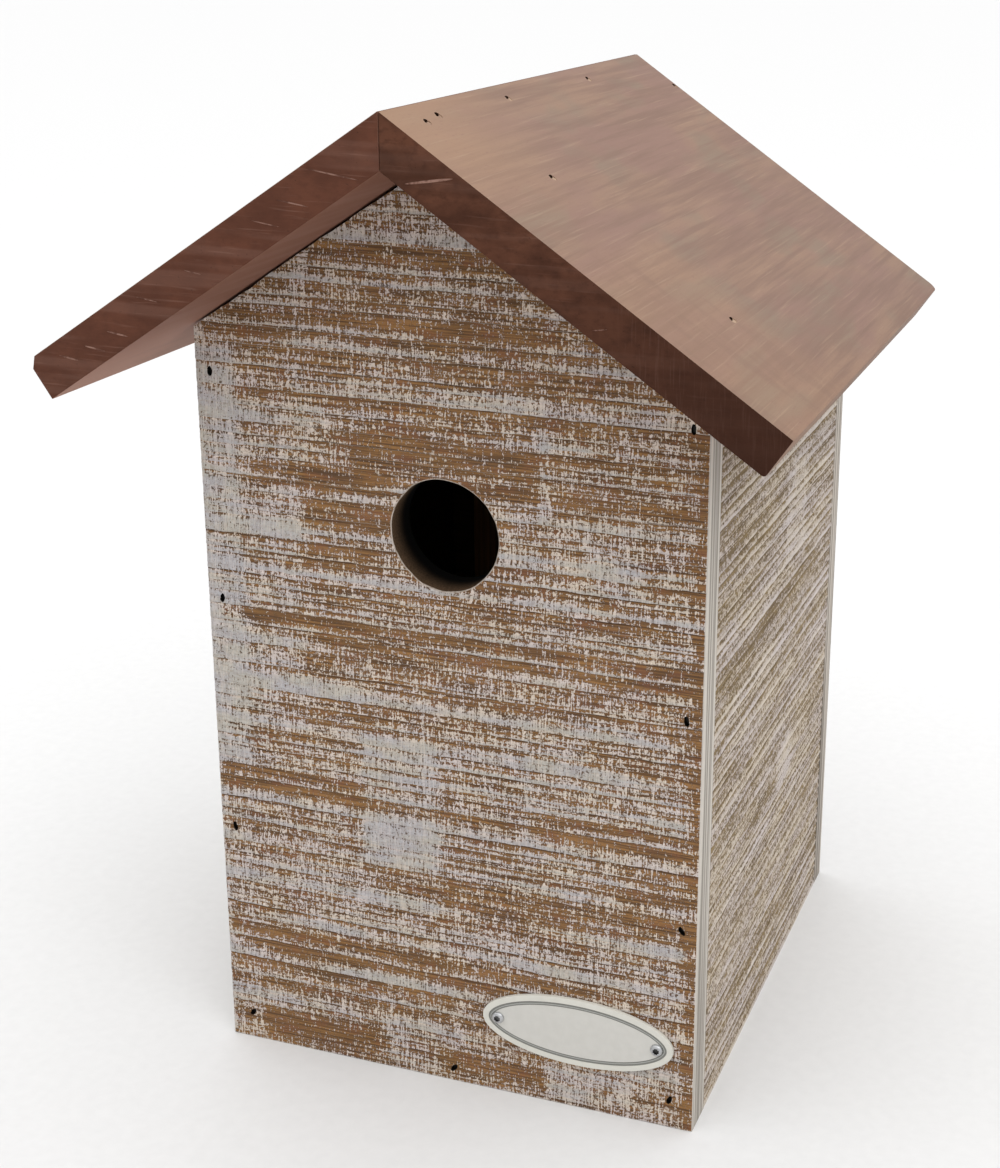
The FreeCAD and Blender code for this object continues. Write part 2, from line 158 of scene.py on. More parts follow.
UNDRESSED = "not dressed"  # name of the material that waits for another
INNER_RIM = 8 * MM  # width of the white rims on the inner faces of the front and the back
BLACK_FROM = 9 * MM  # depth from which the entrance is painted black: painted shade of the box's inside
BUMP_HEIGHT = 0.3 * MM  # height of the finest relief in the finishes

# Screws
HEAD_EDGE = 0.15 * MM  # edge of a countersunk head
DOMED_SHARE = 0.93  # share of a domed head's height that is rounded
TIP_SHARE = 0.5  # width of the tip as a share of the shank's
RECESS_REACH, RECESS_HALF = 0.54, 0.15  # half length and half width of the recess's bars to the head's radius
RECESS_DEPTH = 0.5  # depth of the recess to the head's height

# Pale scratches on the roof boards' front ends, left and right, in millimetres: distance from the ridge and
# from the top, length and width
ROOF_SCRATCHES = {
    -1: ((19.3, 6.1, 14, 0.4), (33, 6.2, 9, 0.4), (42.5, 6.5, 8, 0.3), (68, 6, 5, 0.3), (84, 5, 7, 0.3),
         (97.5, 7.8, 6.5, 0.5), (106, 7.5, 6.5, 0.5), (114.7, 5.6, 6, 0.5)),
    1: ((19.7, 6, 13, 0.7), (74, 8.6, 4, 0.3)),
}
SCRATCH_TILT = {-1: 8, 1: -9}  # degrees that they lean


def linear(colour):
    """Linear red, green and blue, with an alpha of one, of an sRGB colour written as hex."""
    parts = [int(colour[place:place + 2], 16) / 255 for place in (1, 3, 5)]
    return [c / 12.92 if c <= 0.04045 else ((c + 0.055) / 1.055) ** 2.4 for c in parts] + [1.0]


def size(name, description, default):
    """A length in metres that a user may change, given in millimetres."""
    return FloatProperty(name=name, description=description, default=default * MM, unit="LENGTH", precision=5)


def tint(name, description, default):
    """A colour that a user may change, given as sRGB hex."""
    return FloatVectorProperty(name=name, description=description, default=linear(default), size=4,
                               subtype="COLOR")


def amount(name, description, default, subtype="NONE"):
    """A number that a user may change."""
    return FloatProperty(name=name, description=description, default=default, subtype=subtype)


def spot(name, description, default):
    """A place in metres that a user may change."""
    return FloatVectorProperty(name=name, description=description, default=default, subtype="TRANSLATION",
                               precision=5)


class NESTBOX_PG_boards(bpy.types.PropertyGroup):
    """Rough-sawn boards of the walls and the hatch"""
    stroke_depth: size("Stroke depth", "How deep the blade cut at the top of a stroke", 0.24)
    notch_depth: size("Notch depth", "How deep the fine marks between the strokes are", 0.13)
    stroke_pitch: size("Stroke pitch", "Distance between strokes on the back and the hatch", 5.2)
    side_pitch: size("Side stroke pitch", "Distance between strokes on the sides", 3.8)
    side_stroke_depth: size("Side stroke depth", "How deep the blade cut on the sides", 0.624)
    column: size("Column", "Width of the mesh columns across a board", 1.5)
    side_column: size("Side column", "Width of the mesh columns across a side", 2.25)
    edge_round: size("Edge round", "Radius that the arrises are worn to", 0.5)
    mouth_chamfer: size("Mouth chamfer", "Chamfer at the mouth of the entrance", 0.28)
    hatch_gap: size("Hatch gap", "Gap round the hatch", 1.5)
    batten_width: size("Batten width", "Width of the battens that stop the hatch", 12)
    drain_radius: size("Drain radius", "Radius of the drains in the floor", 2.5)
    drain_x: size("Drain to the side", "Distance of the drains from the middle", 40)
    drain_front: size("Front drains", "Place of the front drains, front to back", -43)
    drain_back: size("Back drains", "Place of the back drains, front to back", 46)
    gable_gap: size("Gable gap", "Gap under the left roof board along the front", 0.7)
    pit_width: size("Pit width", "Width of the torn hole over a brad", 1.5)
    pit_length: size("Pit length", "Length of the torn hole over a brad", 3.0)
    pit_depth: size("Pit depth", "Depth of the torn hole over a brad", 2.2)
    stain: tint("Stain", "Brown stain in thin places", "#956F45")
    stain_deep: tint("Deep stain", "Brown stain where the grain drank more", "#5A432F")
    # Dark of the saw marks: dirt, and painted shade under the strokes' and the notches' edges
    groove_dirt_and_shade: tint("Groove", "Dirt in the saw marks", "#443020")
    red_stain: tint("Red stain", "Stain where the wood is redder", "#84583F")
    # Painted shade beside the flecks of white, as though cast by the paint's ridges on the stain
    fleck_shade: tint("Murk", "Stain between close flecks of white", "#42352B")
    speck: tint("Speck", "Specks that stay bare in thick white", "#625950")
    veil: tint("Veil", "Brown under a thin skin of white", "#8A796A")
    paint: tint("Paint", "White that the brush left", "#D7CCC1")
    paint_cool: tint("Cool paint", "White where it went on thick", "#B1B1AF")
    side_stain: tint("Side stain", "Stain of the sides, more olive", "#93805D")
    side_deep: tint("Deep side stain", "Stain of the sides in the grain", "#65553E")
    side_veil: tint("Side veil", "Stain of the sides under a thin skin of white", "#9E9385")
    side_paint: tint("Side paint", "White that the brush left on the sides", "#C3B8AB")
    side_cool: tint("Cool side paint", "The same, where it went on thick", "#D0C9C2")
    warmed: tint("Warmed", "What warm wood under the white lets through", "#FFFBF4")
    cooled: tint("Cooled", "What cool wood under the white lets through", "#FAF8FF")
    seed: IntProperty(name="Seed", description="Draw of the saw marks", default=7)


class NESTBOX_PG_roof(bpy.types.PropertyGroup):
    """Planed and stained roof boards"""
    corner_round: size("Corner round", "Radius of the back corners at the eaves", 3.0)
    edge_round: size("Edge round", "Radius of the planed edges", 0.4)
    chip: size("Chip", "Corner planed from the top of the left eave", 2.6)
    eave_round: size("Eave round", "Radius of the lower edge of the right eave", 1.0)
    seam: size("Seam", "Gap of the mitre at the ridge", 0.3)
    dent_back: size("Dent from the front", "Distance of a dent behind the front of the roof", 15.5)
    dent_down: size("Dent down", "Distance of the dent down from the ridge", 6.4)
    scuff_width: size("Scuff width", "Width of the scuff beside a brad", 1.955)
    scuff_length: size("Scuff length", "Length of the scuff beside a brad", 2.66)
    scuff_depth: size("Scuff depth", "Depth of the scuff beside a brad", 0.22)
    scuff_down: size("Scuff down", "Distance of the scuff down the slope from a brad", 0.805)
    scratch_depth: size("Scratch depth", "Depth of the scratches on the sawn ends", 0.1)
    pit_width: size("Pit width", "Width of the hole over a brad", 1.15)
    pit_length: size("Pit length", "Length of the hole over a brad", 1.9)
    pit_depth: size("Pit depth", "Depth of the hole over a brad", 1.9)
    top: tint("Top", "Stain on the weathered faces", "#8A6D61")
    top_warm: tint("Warm top", "Stain where it kept its warmth", "#917563")
    top_grey: tint("Grey top", "Stain that has greyed", "#857363")
    top_front: tint("Front of the top", "Stain at the front of the ridge", "#9B7C64")
    band: tint("Band", "Stain in the summer wood", "#7E6457")
    hair: tint("Hair", "Pale fibres raised by the plane", "#AB917B")
    end: tint("End", "Stain on the sawn ends", "#5D392B")
    end_deep: tint("Deep end", "Stain on the sawn ends where they drank most", "#4B2D22")
    right_end: tint("Right end", "Stain on the right board's end", "#5A3829")
    right_end_deep: tint("Deep right end", "The same, where it drank most", "#341D13")
    under: tint("Underside", "Stain that stays in the shade", "#86665A")
    # Painted shade towards the ridge and painted light towards the eave of the roof's underside
    under_shade_and_fibre: tint("Deep underside", "The same towards the ridge", "#765040")
    under_painted_light: tint("Pale underside", "The same towards the eave", "#9E7564")


class NESTBOX_PG_fittings(bpy.types.PropertyGroup):
    """Oval plate and metal fittings"""
    plate_edge: size("Plate edge", "Strip along the oval plate's outline that its rounding takes", 0.35)
    plate_round: size("Plate round", "Radius of the oval plate's outline", 0.25)
    plate_rim: size("Plate rim", "Width of the rim of the oval plate outside its border", 1.5)
    line: size("Line", "Width of the border's outer line", 0.6)
    line_gap: size("Line gap", "Distance between the border's lines", 0.25)
    thin_line: size("Thin line", "Width of the border's inner line", 0.4)
    line_depth: size("Line depth", "Depth that the border is pressed in", 0.12)
    plate_hole: size("Plate hole", "Width of the plate's screw holes", 2.0)
    plate_screw: size("Plate screw", "Thickness of the plate's screws", 1.8)
    plate_screw_head: size("Plate screw head", "Height of the plate's screw heads", 1.0)
    hanger_screw: size("Hanger screw", "Thickness of the hanger's screws", 2.5)
    hanger_screw_head: size("Hanger screw head", "Height of the hanger's screw heads", 1.2)
    hinge_screw: size("Hinge screw", "Thickness of the hinges' screws", 2.0)
    hinge_screw_head: size("Hinge screw head", "Height of the hinges' screw heads", 1.0)
    button_screw: size("Button screw", "Thickness of the turn button's screw", 3.0)
    button_screw_head: size("Button screw head", "Height of the turn button's screw head", 2.0)
    plate: tint("Plate", "Enamel of the oval plate's rim", "#D3D1C8")
    plate_field: tint("Plate field", "Enamel inside the border", "#CAC8C2")
    plate_line: tint("Plate line", "Border lines of the oval plate", "#777772")
    plate_band: tint("Plate band", "Between the border lines", "#A3A49F")
    zinc: tint("Zinc", "Zinc plate", "#B4B6B8")
    bright: tint("Bright steel", "Bright plate of the screws", "#C3C4C5")
    blunting: size("Blunting", "Rounding of the stamped edges", 0.3)
    bare: tint("Bare wood", "Wood without a finish", "#B98F62")


class NESTBOX_PG_stage(bpy.types.PropertyGroup):
    """Floor, lights and camera"""
    floor: tint("Floor", "Pale studio floor", "#DEDEDE")
    floor_size: amount("Floor size", "Width of the floor", 200.0, "DISTANCE")
    sky: amount("Sky", "Strength of the light from the sides", 0.55)
    zenith: amount("Zenith", "Strength of the light from above", 1.6)
    backdrop: amount("Backdrop", "Strength of the backdrop, where it is seen", 1.0)
    key: amount("Key", "Power of the key light", 10.0, "POWER")
    key_size: amount("Key size", "Width of the key light", 2.0, "DISTANCE")
    key_place: spot("Key place", "Place of the key light", (1.1, -1.1, 1.7))
    key_aim: spot("Key aim", "Place that the key light looks at", (0, 0, 0.15))
    camera_place: spot("Camera place", "Place of the camera", (0.2016, -0.52165, 0.34143))
    heading: amount("Heading", "Turn of the camera about the upright", math.radians(17.82), "ANGLE")
    dip: amount("Dip", "How far the camera looks down", math.radians(17.70), "ANGLE")
    roll: amount("Roll", "Lean of the camera", math.radians(1.01), "ANGLE")
    lens: amount("Lens", "Focal length in millimetres on a frame 36 mm wide", 57.35, "DISTANCE_CAMERA")
    shift: FloatVectorProperty(name="Shift", description="Shift of the frame, across and up", size=2,
                               default=(-0.1314, -0.0791), precision=4)


# Modelling steps that the pieces share
def named(name):
    """The object that an operator has just added, with its place and size put into its mesh."""
    piece = bpy.context.active_object
    piece.name = piece.data.name = name
    bpy.ops.object.transform_apply(location=True, rotation=True, scale=True)
    return piece


def pick_up(piece):
    """Make a piece the only selected object."""
    bpy.ops.object.select_all(action="DESELECT")
    piece.select_set(True)
    bpy.context.view_layer.objects.active = piece


def choose(piece, kind, test):
    """Enter edit mode with the vertices, edges or faces selected that pass a test. It is given the place and
    normal of a vertex, the two ends of an edge, or the middle and normal of a face."""
    pick_up(piece)
    bpy.ops.object.mode_set(mode="EDIT")
    bpy.ops.mesh.select_mode(type=kind)
    bpy.ops.mesh.select_all(action="DESELECT")
    mesh = bmesh.from_edit_mesh(piece.data)
    mesh.normal_update()
    for item in {"VERT": mesh.verts, "EDGE": mesh.edges, "FACE": mesh.faces}[kind]:
        if kind == "VERT":
            item.select_set(test(item.co, item.normal))
        elif kind == "EDGE":
            item.select_set(test(item.verts[0].co, item.verts[1].co))
        else:
            item.select_set(test(item.calc_center_median(), item.normal))
    bmesh.update_edit_mesh(piece.data)


def anywhere(*_):
    """A test that all pass."""
    return True


def leave():
    """Leave edit mode."""
    bpy.ops.object.mode_set(mode="OBJECT")


def bevel_edges(piece, test, radius, segments):
    """Bevel the edges whose two ends pass a test."""
    choose(piece, "EDGE", lambda first, second: test(first) and test(second))
    bpy.ops.mesh.bevel(offset=radius, segments=segments, affect="EDGES")
    leave()


def draw_out(move, share, end):
    """Extrude the selected faces, and make them wider or narrower about the point that they reach."""
    bpy.ops.mesh.extrude_region_move(TRANSFORM_OT_translate={"value": move})
    bpy.ops.transform.resize(value=(share, share, share), center_override=end)


def finish_with(piece, kind, **settings):
    """Add a modifier and apply it."""
    pick_up(piece)
    modifier = piece.modifiers.new(kind.title(), kind)
    for key, value in settings.items():
        setattr(modifier, key, value)
    bpy.ops.object.modifier_apply(modifier=modifier.name)


def slice_off(piece, point, way, fill=True):
    """Saw off what lies beyond a plane."""
    choose(piece, "FACE", anywhere)
    bpy.ops.mesh.bisect(plane_co=point, plane_no=way, use_fill=fill, clear_outer=True)
    leave()


def cut_out(piece, cutters):
    """Take the cutters away from a piece. What they bare takes their material."""
    before = piece.dimensions.copy()
    for cutter in cutters:
        finish_with(piece, "BOOLEAN", object=cutter, operation="DIFFERENCE", solver="EXACT",
                    material_mode="TRANSFER")
        bpy.data.objects.remove(cutter)
    bpy.context.view_layer.update()
    if (piece.dimensions - before).length > MARGIN:
        raise RuntimeError("A cut changed the size of " + piece.name)


def joined(name, pieces):
    """Several like pieces as one object."""
    pick_up(pieces[0])
    for piece in pieces[1:]:
        piece.select_set(True)
    bpy.ops.object.join()
    return named(name)


def finished(piece, *keys):
    """A piece that has been given its materials."""
    for key in keys:
        piece.data.materials.append(material(key))
    return piece


def block(name, low, high):
    """A block between two corners."""
    bpy.ops.object.select_all(action="DESELECT")
    bpy.ops.mesh.primitive_cube_add(size=1, location=(low + high) / 2, scale=high - low)
    return named(name)


def turned_to(way, long_way):
    """Rotation that lays local Z along one way, and local Y along another that is square to it."""
    across = long_way.cross(way)
    return Matrix((across, long_way, way)).transposed().to_euler()


def drum(name, radius, start, way, length, sides):
    """A cylinder from a point along a way."""
    bpy.ops.object.select_all(action="DESELECT")
    long_way = way.orthogonal().normalized()
    bpy.ops.mesh.primitive_cylinder_add(
        vertices=sides, radius=radius, depth=length, location=start + way * length / 2,
        rotation=turned_to(way, long_way))
    return named(name)


def islands(node):
    """Middle, lowest and highest corner of each separate solid in a node, lowest first."""
    mesh = bmesh.new()
    mesh.from_mesh(frame["nodes"][node].data)
    bmesh.ops.remove_doubles(mesh, verts=mesh.verts, dist=WELD)
    left = set(mesh.verts)
    found = []
    while left:
        group = [left.pop()]
        for vertex in group:
            near = {edge.other_vert(vertex) for edge in vertex.link_edges} & left
            left -= near
            group.extend(near)
        low = Vector([min(v.co[axis] for v in group) for axis in range(3)])
        high = Vector([max(v.co[axis] for v in group) for axis in range(3)])
        found.append(((low + high) / 2, low, high))
    mesh.free()
    return sorted(found, key=lambda item: (round(item[0].z, 5), round(item[0].x, 5), round(item[0].y, 5)))


# Boards that stand upright
Face = namedtuple("Face", "corner along out")


def face_of(node, out):
    """A board's outer face: its lower left corner as seen from outside, the way along and the way out."""
    low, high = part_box(node)
    along = UP.cross(out)
    level = [high[axis] if out[axis] - along[axis] > 0 else low[axis] for axis in range(2)]
    return Face(Vector(level + [low.z]), along, out)


def step_of(edges, value, last):
    """Number of the step between rising edges that a value lies on, from the first to the last given."""
    return min(max(bisect_right(edges, value) - 1, 0), last)


class SawMarks:
    """Strokes and fine notches that a saw left across a board, and the white that a brush left on them.
    Lengths are in millimetres. White runs from about 0, bare wood, to 1, thick paint."""
    least_notch, more_notch = 1.1, 2.0  # height of a notch, and how much more it may have
    beside = 0.07  # distance of the mesh rows from an edge
    tallest_row = 0.8
    bar_run, notch_run = 38, 17  # lengths over which the white on a bar and on a notch comes and goes
    zone_along, zone_up = 40, 22  # the same for the stripes and for the dirt with painted shade
    bar_fade = 0.3  # height over which a bar ends
    patch_fade_along, patch_fade_up, patch_reach = 0.6, 0.7, 8  # how a patch of brushing ends

    def __init__(self, seed, strokes, lifts, brushing, brush):
        draw = random.Random(seed)
        self.seed = seed
        self.strokes = [height for height, _ in strokes]
        self.bars = [height for _, height in strokes]
        self.lifts = lifts
        self.brushing = brushing
        self.brush = brush
        self.notches = [0.0]
        while self.notches[-1] < self.strokes[-1]:
            self.notches.append(self.notches[-1] + self.least_notch + self.more_notch * draw.random() ** 1.5)
        self.catch = [draw.gauss(0, 1.6 * brush.patchy) for _ in self.notches]
        self.split = [draw.uniform(0.32, 0.6) for _ in self.notches]
        self.touch = [[draw.gauss(0, 0.7 * brush.patchy) for _ in self.lifts] for _ in self.notches]
        self.press = [[draw.gauss(0, brush.patchy) for _ in self.lifts] for _ in self.strokes]

    def rows(self, bottom, top):
        """Heights of the mesh rows in metres: one on each side of every edge, and more on wide treads."""
        bottom, top = bottom / MM, top / MM
        edges = [edge for edge in sorted(self.strokes + self.notches) if bottom + 1 < edge < top - 1]
        heights = [edge + away for edge in edges for away in (-self.beside, self.beside)]
        heights += [edge - self.brush.gap_height for edge in self.strokes if bottom + 2 < edge < top - 1]
        rows = [bottom]
        for height in sorted(heights) + [top]:
            if height - rows[-1] < self.beside:
                continue
            parts = math.ceil((height - rows[-1]) / self.tallest_row)
            rows += [rows[-1] + (height - rows[-1]) * part / parts for part in range(1, parts)] + [height]
        return [row * MM for row in rows]

    def patches(self, along, up):
        """White that the patches of brushing add at a place."""
        white = 0.0
        for middle_along, middle_up, half_along, half_up, more in self.brushing:
            beside = abs(along - middle_along) - half_along
            beyond = abs(up - middle_up) - half_up
            if max(beside, beyond) < self.patch_reach:
                within = 1 + math.exp(beside / self.patch_fade_along)
                white += 0.95 * more / within / (1 + math.exp(beyond / self.patch_fade_up))
        return white

    def at(self, along, up):
        """White, dirt with painted shade under the edges, and the share of the stroke's and the notch's depth
        at a place.
        """
        brush = self.brush
        stroke = step_of(self.strokes, up, len(self.strokes) - 2)
        above = up - self.strokes[stroke]
        below = self.strokes[stroke + 1] - up
        notch = step_of(self.notches, up, len(self.notches) - 2)
        share = (up - self.notches[notch]) / (self.notches[notch + 1] - self.notches[notch])
        lift = step_of(self.lifts, along, len(self.lifts) - 1)
        run = noise.noise((along / self.bar_run, 3.7 * stroke, self.seed))
        fine_run = noise.noise((along / self.notch_run, 5.3 * notch, self.seed + 9))
        zone = noise.noise((along / self.zone_along, up / self.zone_up, self.seed + 17))
        white = brush.level + self.catch[notch] + self.touch[notch][lift] + self.press[stroke][lift]
        white += 0.10 * fine_run
        reach = self.bars[stroke] * (1 + 0.5 * run)
        white += brush.bar * (0.9 + 0.8 * run) / (1 + math.exp((above - reach) / self.bar_fade))
        white -= brush.gap * (0.9 + 0.7 * fine_run) * math.exp(-(below / brush.gap_height) ** 2)
        white += brush.stripe * (0.8 + 1.1 * zone) * math.tanh(5 * (self.split[notch] - share))
        white += self.patches(along, up)
        white = 0.5 + 0.7 * math.tanh((white - 0.5) / 0.7)
        # Dirt and painted shade: dark under each stroke's edge, and at the top of each notch under the next
        # edge
        dirt_and_shade = math.exp(-(below / (0.6 * brush.gap_height)) ** 2) * (0.55 + 1.2 * fine_run)
        dirt_and_shade = max(0, dirt_and_shade + (0.4 + 0.8 * zone) * share ** 10)
        return white, dirt_and_shade, above / (above + below), share


def sawn_board(name, face, low, high, marks, column):
    """An upright sheet on a face, with a row of mesh on each side of every saw mark. Its low and high corners
    are given along and up the face, and the width of its mesh columns last."""
    rows = marks.rows(low[1], high[1])
    columns = max(4, round((high[0] - low[0]) / column))
    bpy.ops.object.select_all(action="DESELECT")
    bpy.ops.mesh.primitive_grid_add(x_subdivisions=columns, y_subdivisions=len(rows) - 1, size=1)
    board = named(name)
    for vertex in board.data.vertices:
        along = low[0] + (vertex.co.x + 0.5) * (high[0] - low[0])
        row = rows[round((vertex.co.y + 0.5) * (len(rows) - 1))]
        vertex.co = face.corner + face.along * along + UP * row
    return board


def thicken(board, face, thickness, ends):
    """Give a sheet edges and a flat inner face, which is parted at a rim from its ends along the face."""
    choose(board, "FACE", anywhere)
    bpy.ops.mesh.region_to_loop()
    bpy.ops.mesh.extrude_region_move(TRANSFORM_OT_translate={"value": -face.out * thickness})
    bpy.ops.mesh.edge_face_add()
    bpy.ops.mesh.select_all(action="SELECT")
    bpy.ops.mesh.normals_make_consistent(inside=False)
    leave()
    for along in (ends[0] + INNER_RIM, ends[1] - INNER_RIM):
        choose(board, "FACE", lambda middle, normal: normal.dot(face.out) < -FACING)
        bpy.ops.mesh.bisect(plane_co=face.corner + face.along * along, plane_no=face.along)
        leave()


def wear_arrises(board, face, low, high, radius):
    """Round the upright and the level edges of the outer face between two corners."""
    def at_edge(first, second):
        places = [point - face.corner for point in (first, second)]
        flat = all(abs(place.dot(face.out)) < SAME for place in places)
        ends = [[place.dot(face.along) for place in places], [point.z for point in (first, second)]]
        return flat and any(all(abs(value - limits[axis]) < SAME for value in ends[axis])
                            for axis in range(2) for limits in (low, high))
    choose(board, "EDGE", at_edge)
    bpy.ops.mesh.bevel(offset=radius, segments=2, affect="EDGES")
    leave()


def pit_cutter(point, way, long_way, look, seed):
    """A torn slot into the wood, as wide, long and deep as a look says."""
    bpy.ops.object.select_all(action="DESELECT")
    bpy.ops.mesh.primitive_cylinder_add(
        vertices=12, radius=look.pit_width / 2, depth=2 * look.pit_depth, location=point,
        rotation=turned_to(way, long_way), scale=(1, look.pit_length / look.pit_width, 1))
    cutter = named("pit")
    choose(cutter, "VERT", anywhere)
    ragged = min(0.14 * look.pit_width, 0.3 * look.pit_depth)
    bpy.ops.transform.vertex_random(offset=ragged, seed=seed)
    leave()
    return cutter


def mouth_cutter(radius, start, way, length, chamfer):
    """A bore that flares to a chamfer at the face where it starts. The chamfer takes the second material."""
    cutter = drum("mouth", radius, start + way * chamfer, way, length + MARGIN, 96)
    finished(cutter, "stained entrance", "worn entrance edge")
    choose(cutter, "FACE", lambda middle, normal: normal.dot(way) < -FACING)
    draw_out(-2 * chamfer * way, 1 + 2 * chamfer / radius, start - way * chamfer)
    leave()
    for polygon in cutter.data.polygons:
        polygon.material_index = 1 if (polygon.center - start).dot(way) < chamfer / 2 else 0
    return cutter


def press_marks(board, face, marks, stroke_depth, notch_depth):
    """Sink the outer face to the saw's marks, and keep the white, and the dirt with painted shade, for the
    finish.
    """
    values = {"paint": [], "groove_dirt_and_shade": []}
    reach = 0.9 * MM

    def waver(length, height, number):
        return noise.noise((along / length, up / height, marks.seed + number))
    for vertex in board.data.vertices:
        offset = vertex.co - face.corner
        along, up = offset.dot(face.along) / MM, offset.z / MM
        inside = -offset.dot(face.out)
        white, dirt_and_shade = 0.0, 0.0
        if inside < reach:
            white, dirt_and_shade, stroke_share, notch_share = marks.at(along, up)
            depth = stroke_depth * stroke_share ** 1.4
            depth += notch_depth * (notch_share + 0.3 + 0.3 * waver(2.2, 5, 3))
            wave = 0.4 * waver(24, 9, 0) + 0.3 * waver(5, 5, 1)
            vertex.co -= face.out * depth * (1 - inside / reach)
            vertex.co.z += MM * wave * min(1, up / 3)
        values["paint"].append(white)
        values["groove_dirt_and_shade"].append(dirt_and_shade)
    for key, numbers in values.items():
        attribute = board.data.attributes.new(key, "FLOAT", "POINT")
        attribute.data.foreach_set("value", numbers)


def dress(piece, keys, pick):
    """Give the faces that no cutter has dressed their materials, which a pick tells by middle and normal."""
    bare = piece.data.materials.find(UNDRESSED)
    places = []
    for key in keys:
        if material(key).name not in piece.data.materials:
            piece.data.materials.append(material(key))
        places.append(piece.data.materials.find(material(key).name))
    for polygon in piece.data.polygons:
        if bare < 0 or polygon.material_index == bare:
            polygon.material_index = places[pick(polygon.center, polygon.normal)]
    if bare >= 0:
        pick_up(piece)
        piece.active_material_index = bare
        bpy.ops.object.material_slot_remove()


def undressed(piece):
    """Mark all faces as waiting for a material, so that those that a cutter bares can be told apart."""
    piece.data.materials.append(bpy.data.materials.get(UNDRESSED) or bpy.data.materials.new(UNDRESSED))


def place_on(piece, body, slot, *nodes):
    """Smooth a finished piece and hang it on its body, in place of its nodes."""
    pick_up(piece)
    bpy.ops.object.shade_smooth_by_angle(angle=SMOOTH)
    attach(piece, body)
    if nodes:
        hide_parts(*nodes)


# Materials
def put(tree, kind, inputs=None, **settings):
    """Add a node, set it up, and set or wire its inputs."""
    made = tree.nodes.new("ShaderNode" + kind)
    for key, value in settings.items():
        setattr(made, key, value)
    for key, value in (inputs or {}).items():
        if isinstance(value, bpy.types.NodeSocket):
            tree.links.new(value, made.inputs[key])
        else:
            made.inputs[key].default_value = value
    return made


def blank(name):
    """A material with no nodes, its tree, and the coordinates of the object."""
    made = bpy.data.materials.new(name)
    made.use_nodes = True
    tree = made.node_tree
    tree.nodes.clear()
    return made, tree, put(tree, "TexCoord").outputs["Object"]


def close(tree, colour, roughness, height, bump, specular=0.5, metallic=0.0):
    """Wire a colour, a roughness and a height to one shader and the output."""
    relief = put(tree, "Bump", {"Height": height, "Strength": bump, "Distance": BUMP_HEIGHT})
    shader = put(tree, "BsdfPrincipled", {
        "Base Color": colour, "Roughness": roughness, "Normal": relief.outputs["Normal"],
        "Specular IOR Level": specular, "Metallic": metallic})
    put(tree, "OutputMaterial", {"Surface": shader.outputs["BSDF"]})


def grain(tree, where, sizes, detail=3, roughness=0.55, distortion=0.0, turn=(0, 0, 0)):
    """Noise as long, wide and high in millimetres as the sizes say, in a space turned by some angles."""
    scale = [1 / (length * MM) for length in sizes]
    space = put(tree, "Mapping", {"Vector": where, "Rotation": turn, "Scale": scale}).outputs["Vector"]
    return put(tree, "TexNoise", {"Vector": space, "Scale": 1.0, "Detail": detail, "Roughness": roughness,
                                  "Distortion": distortion}).outputs["Fac"]


def share_of(tree, most, *rises):
    """Share of a finish, up to the most given. A rise is a pattern and two values that it eases between."""
    share = most
    for pattern, first, second in rises:
        eased = put(tree, "MapRange", {"Value": pattern, "From Min": first, "From Max": second,
                                       "To Max": share}, interpolation_type="SMOOTHSTEP")
        share = eased.outputs["Result"]
    return share


def laid(tree, under, over, most, *rises):
    """A colour with another laid over it in a share, up to the most given, that follows the rises."""
    share = share_of(tree, most, *rises)
    return put(tree, "Mix", {0: share, 6: under, 7: over}, data_type="RGBA").outputs[2]


def from_ridge(tree, where):
    """Level distance from the ridge, and the place from front to back."""
    axes = put(tree, "SeparateXYZ", {"Vector": where}).outputs
    return put(tree, "Math", {0: axes["X"]}, operation="ABSOLUTE").outputs["Value"], axes["Y"]


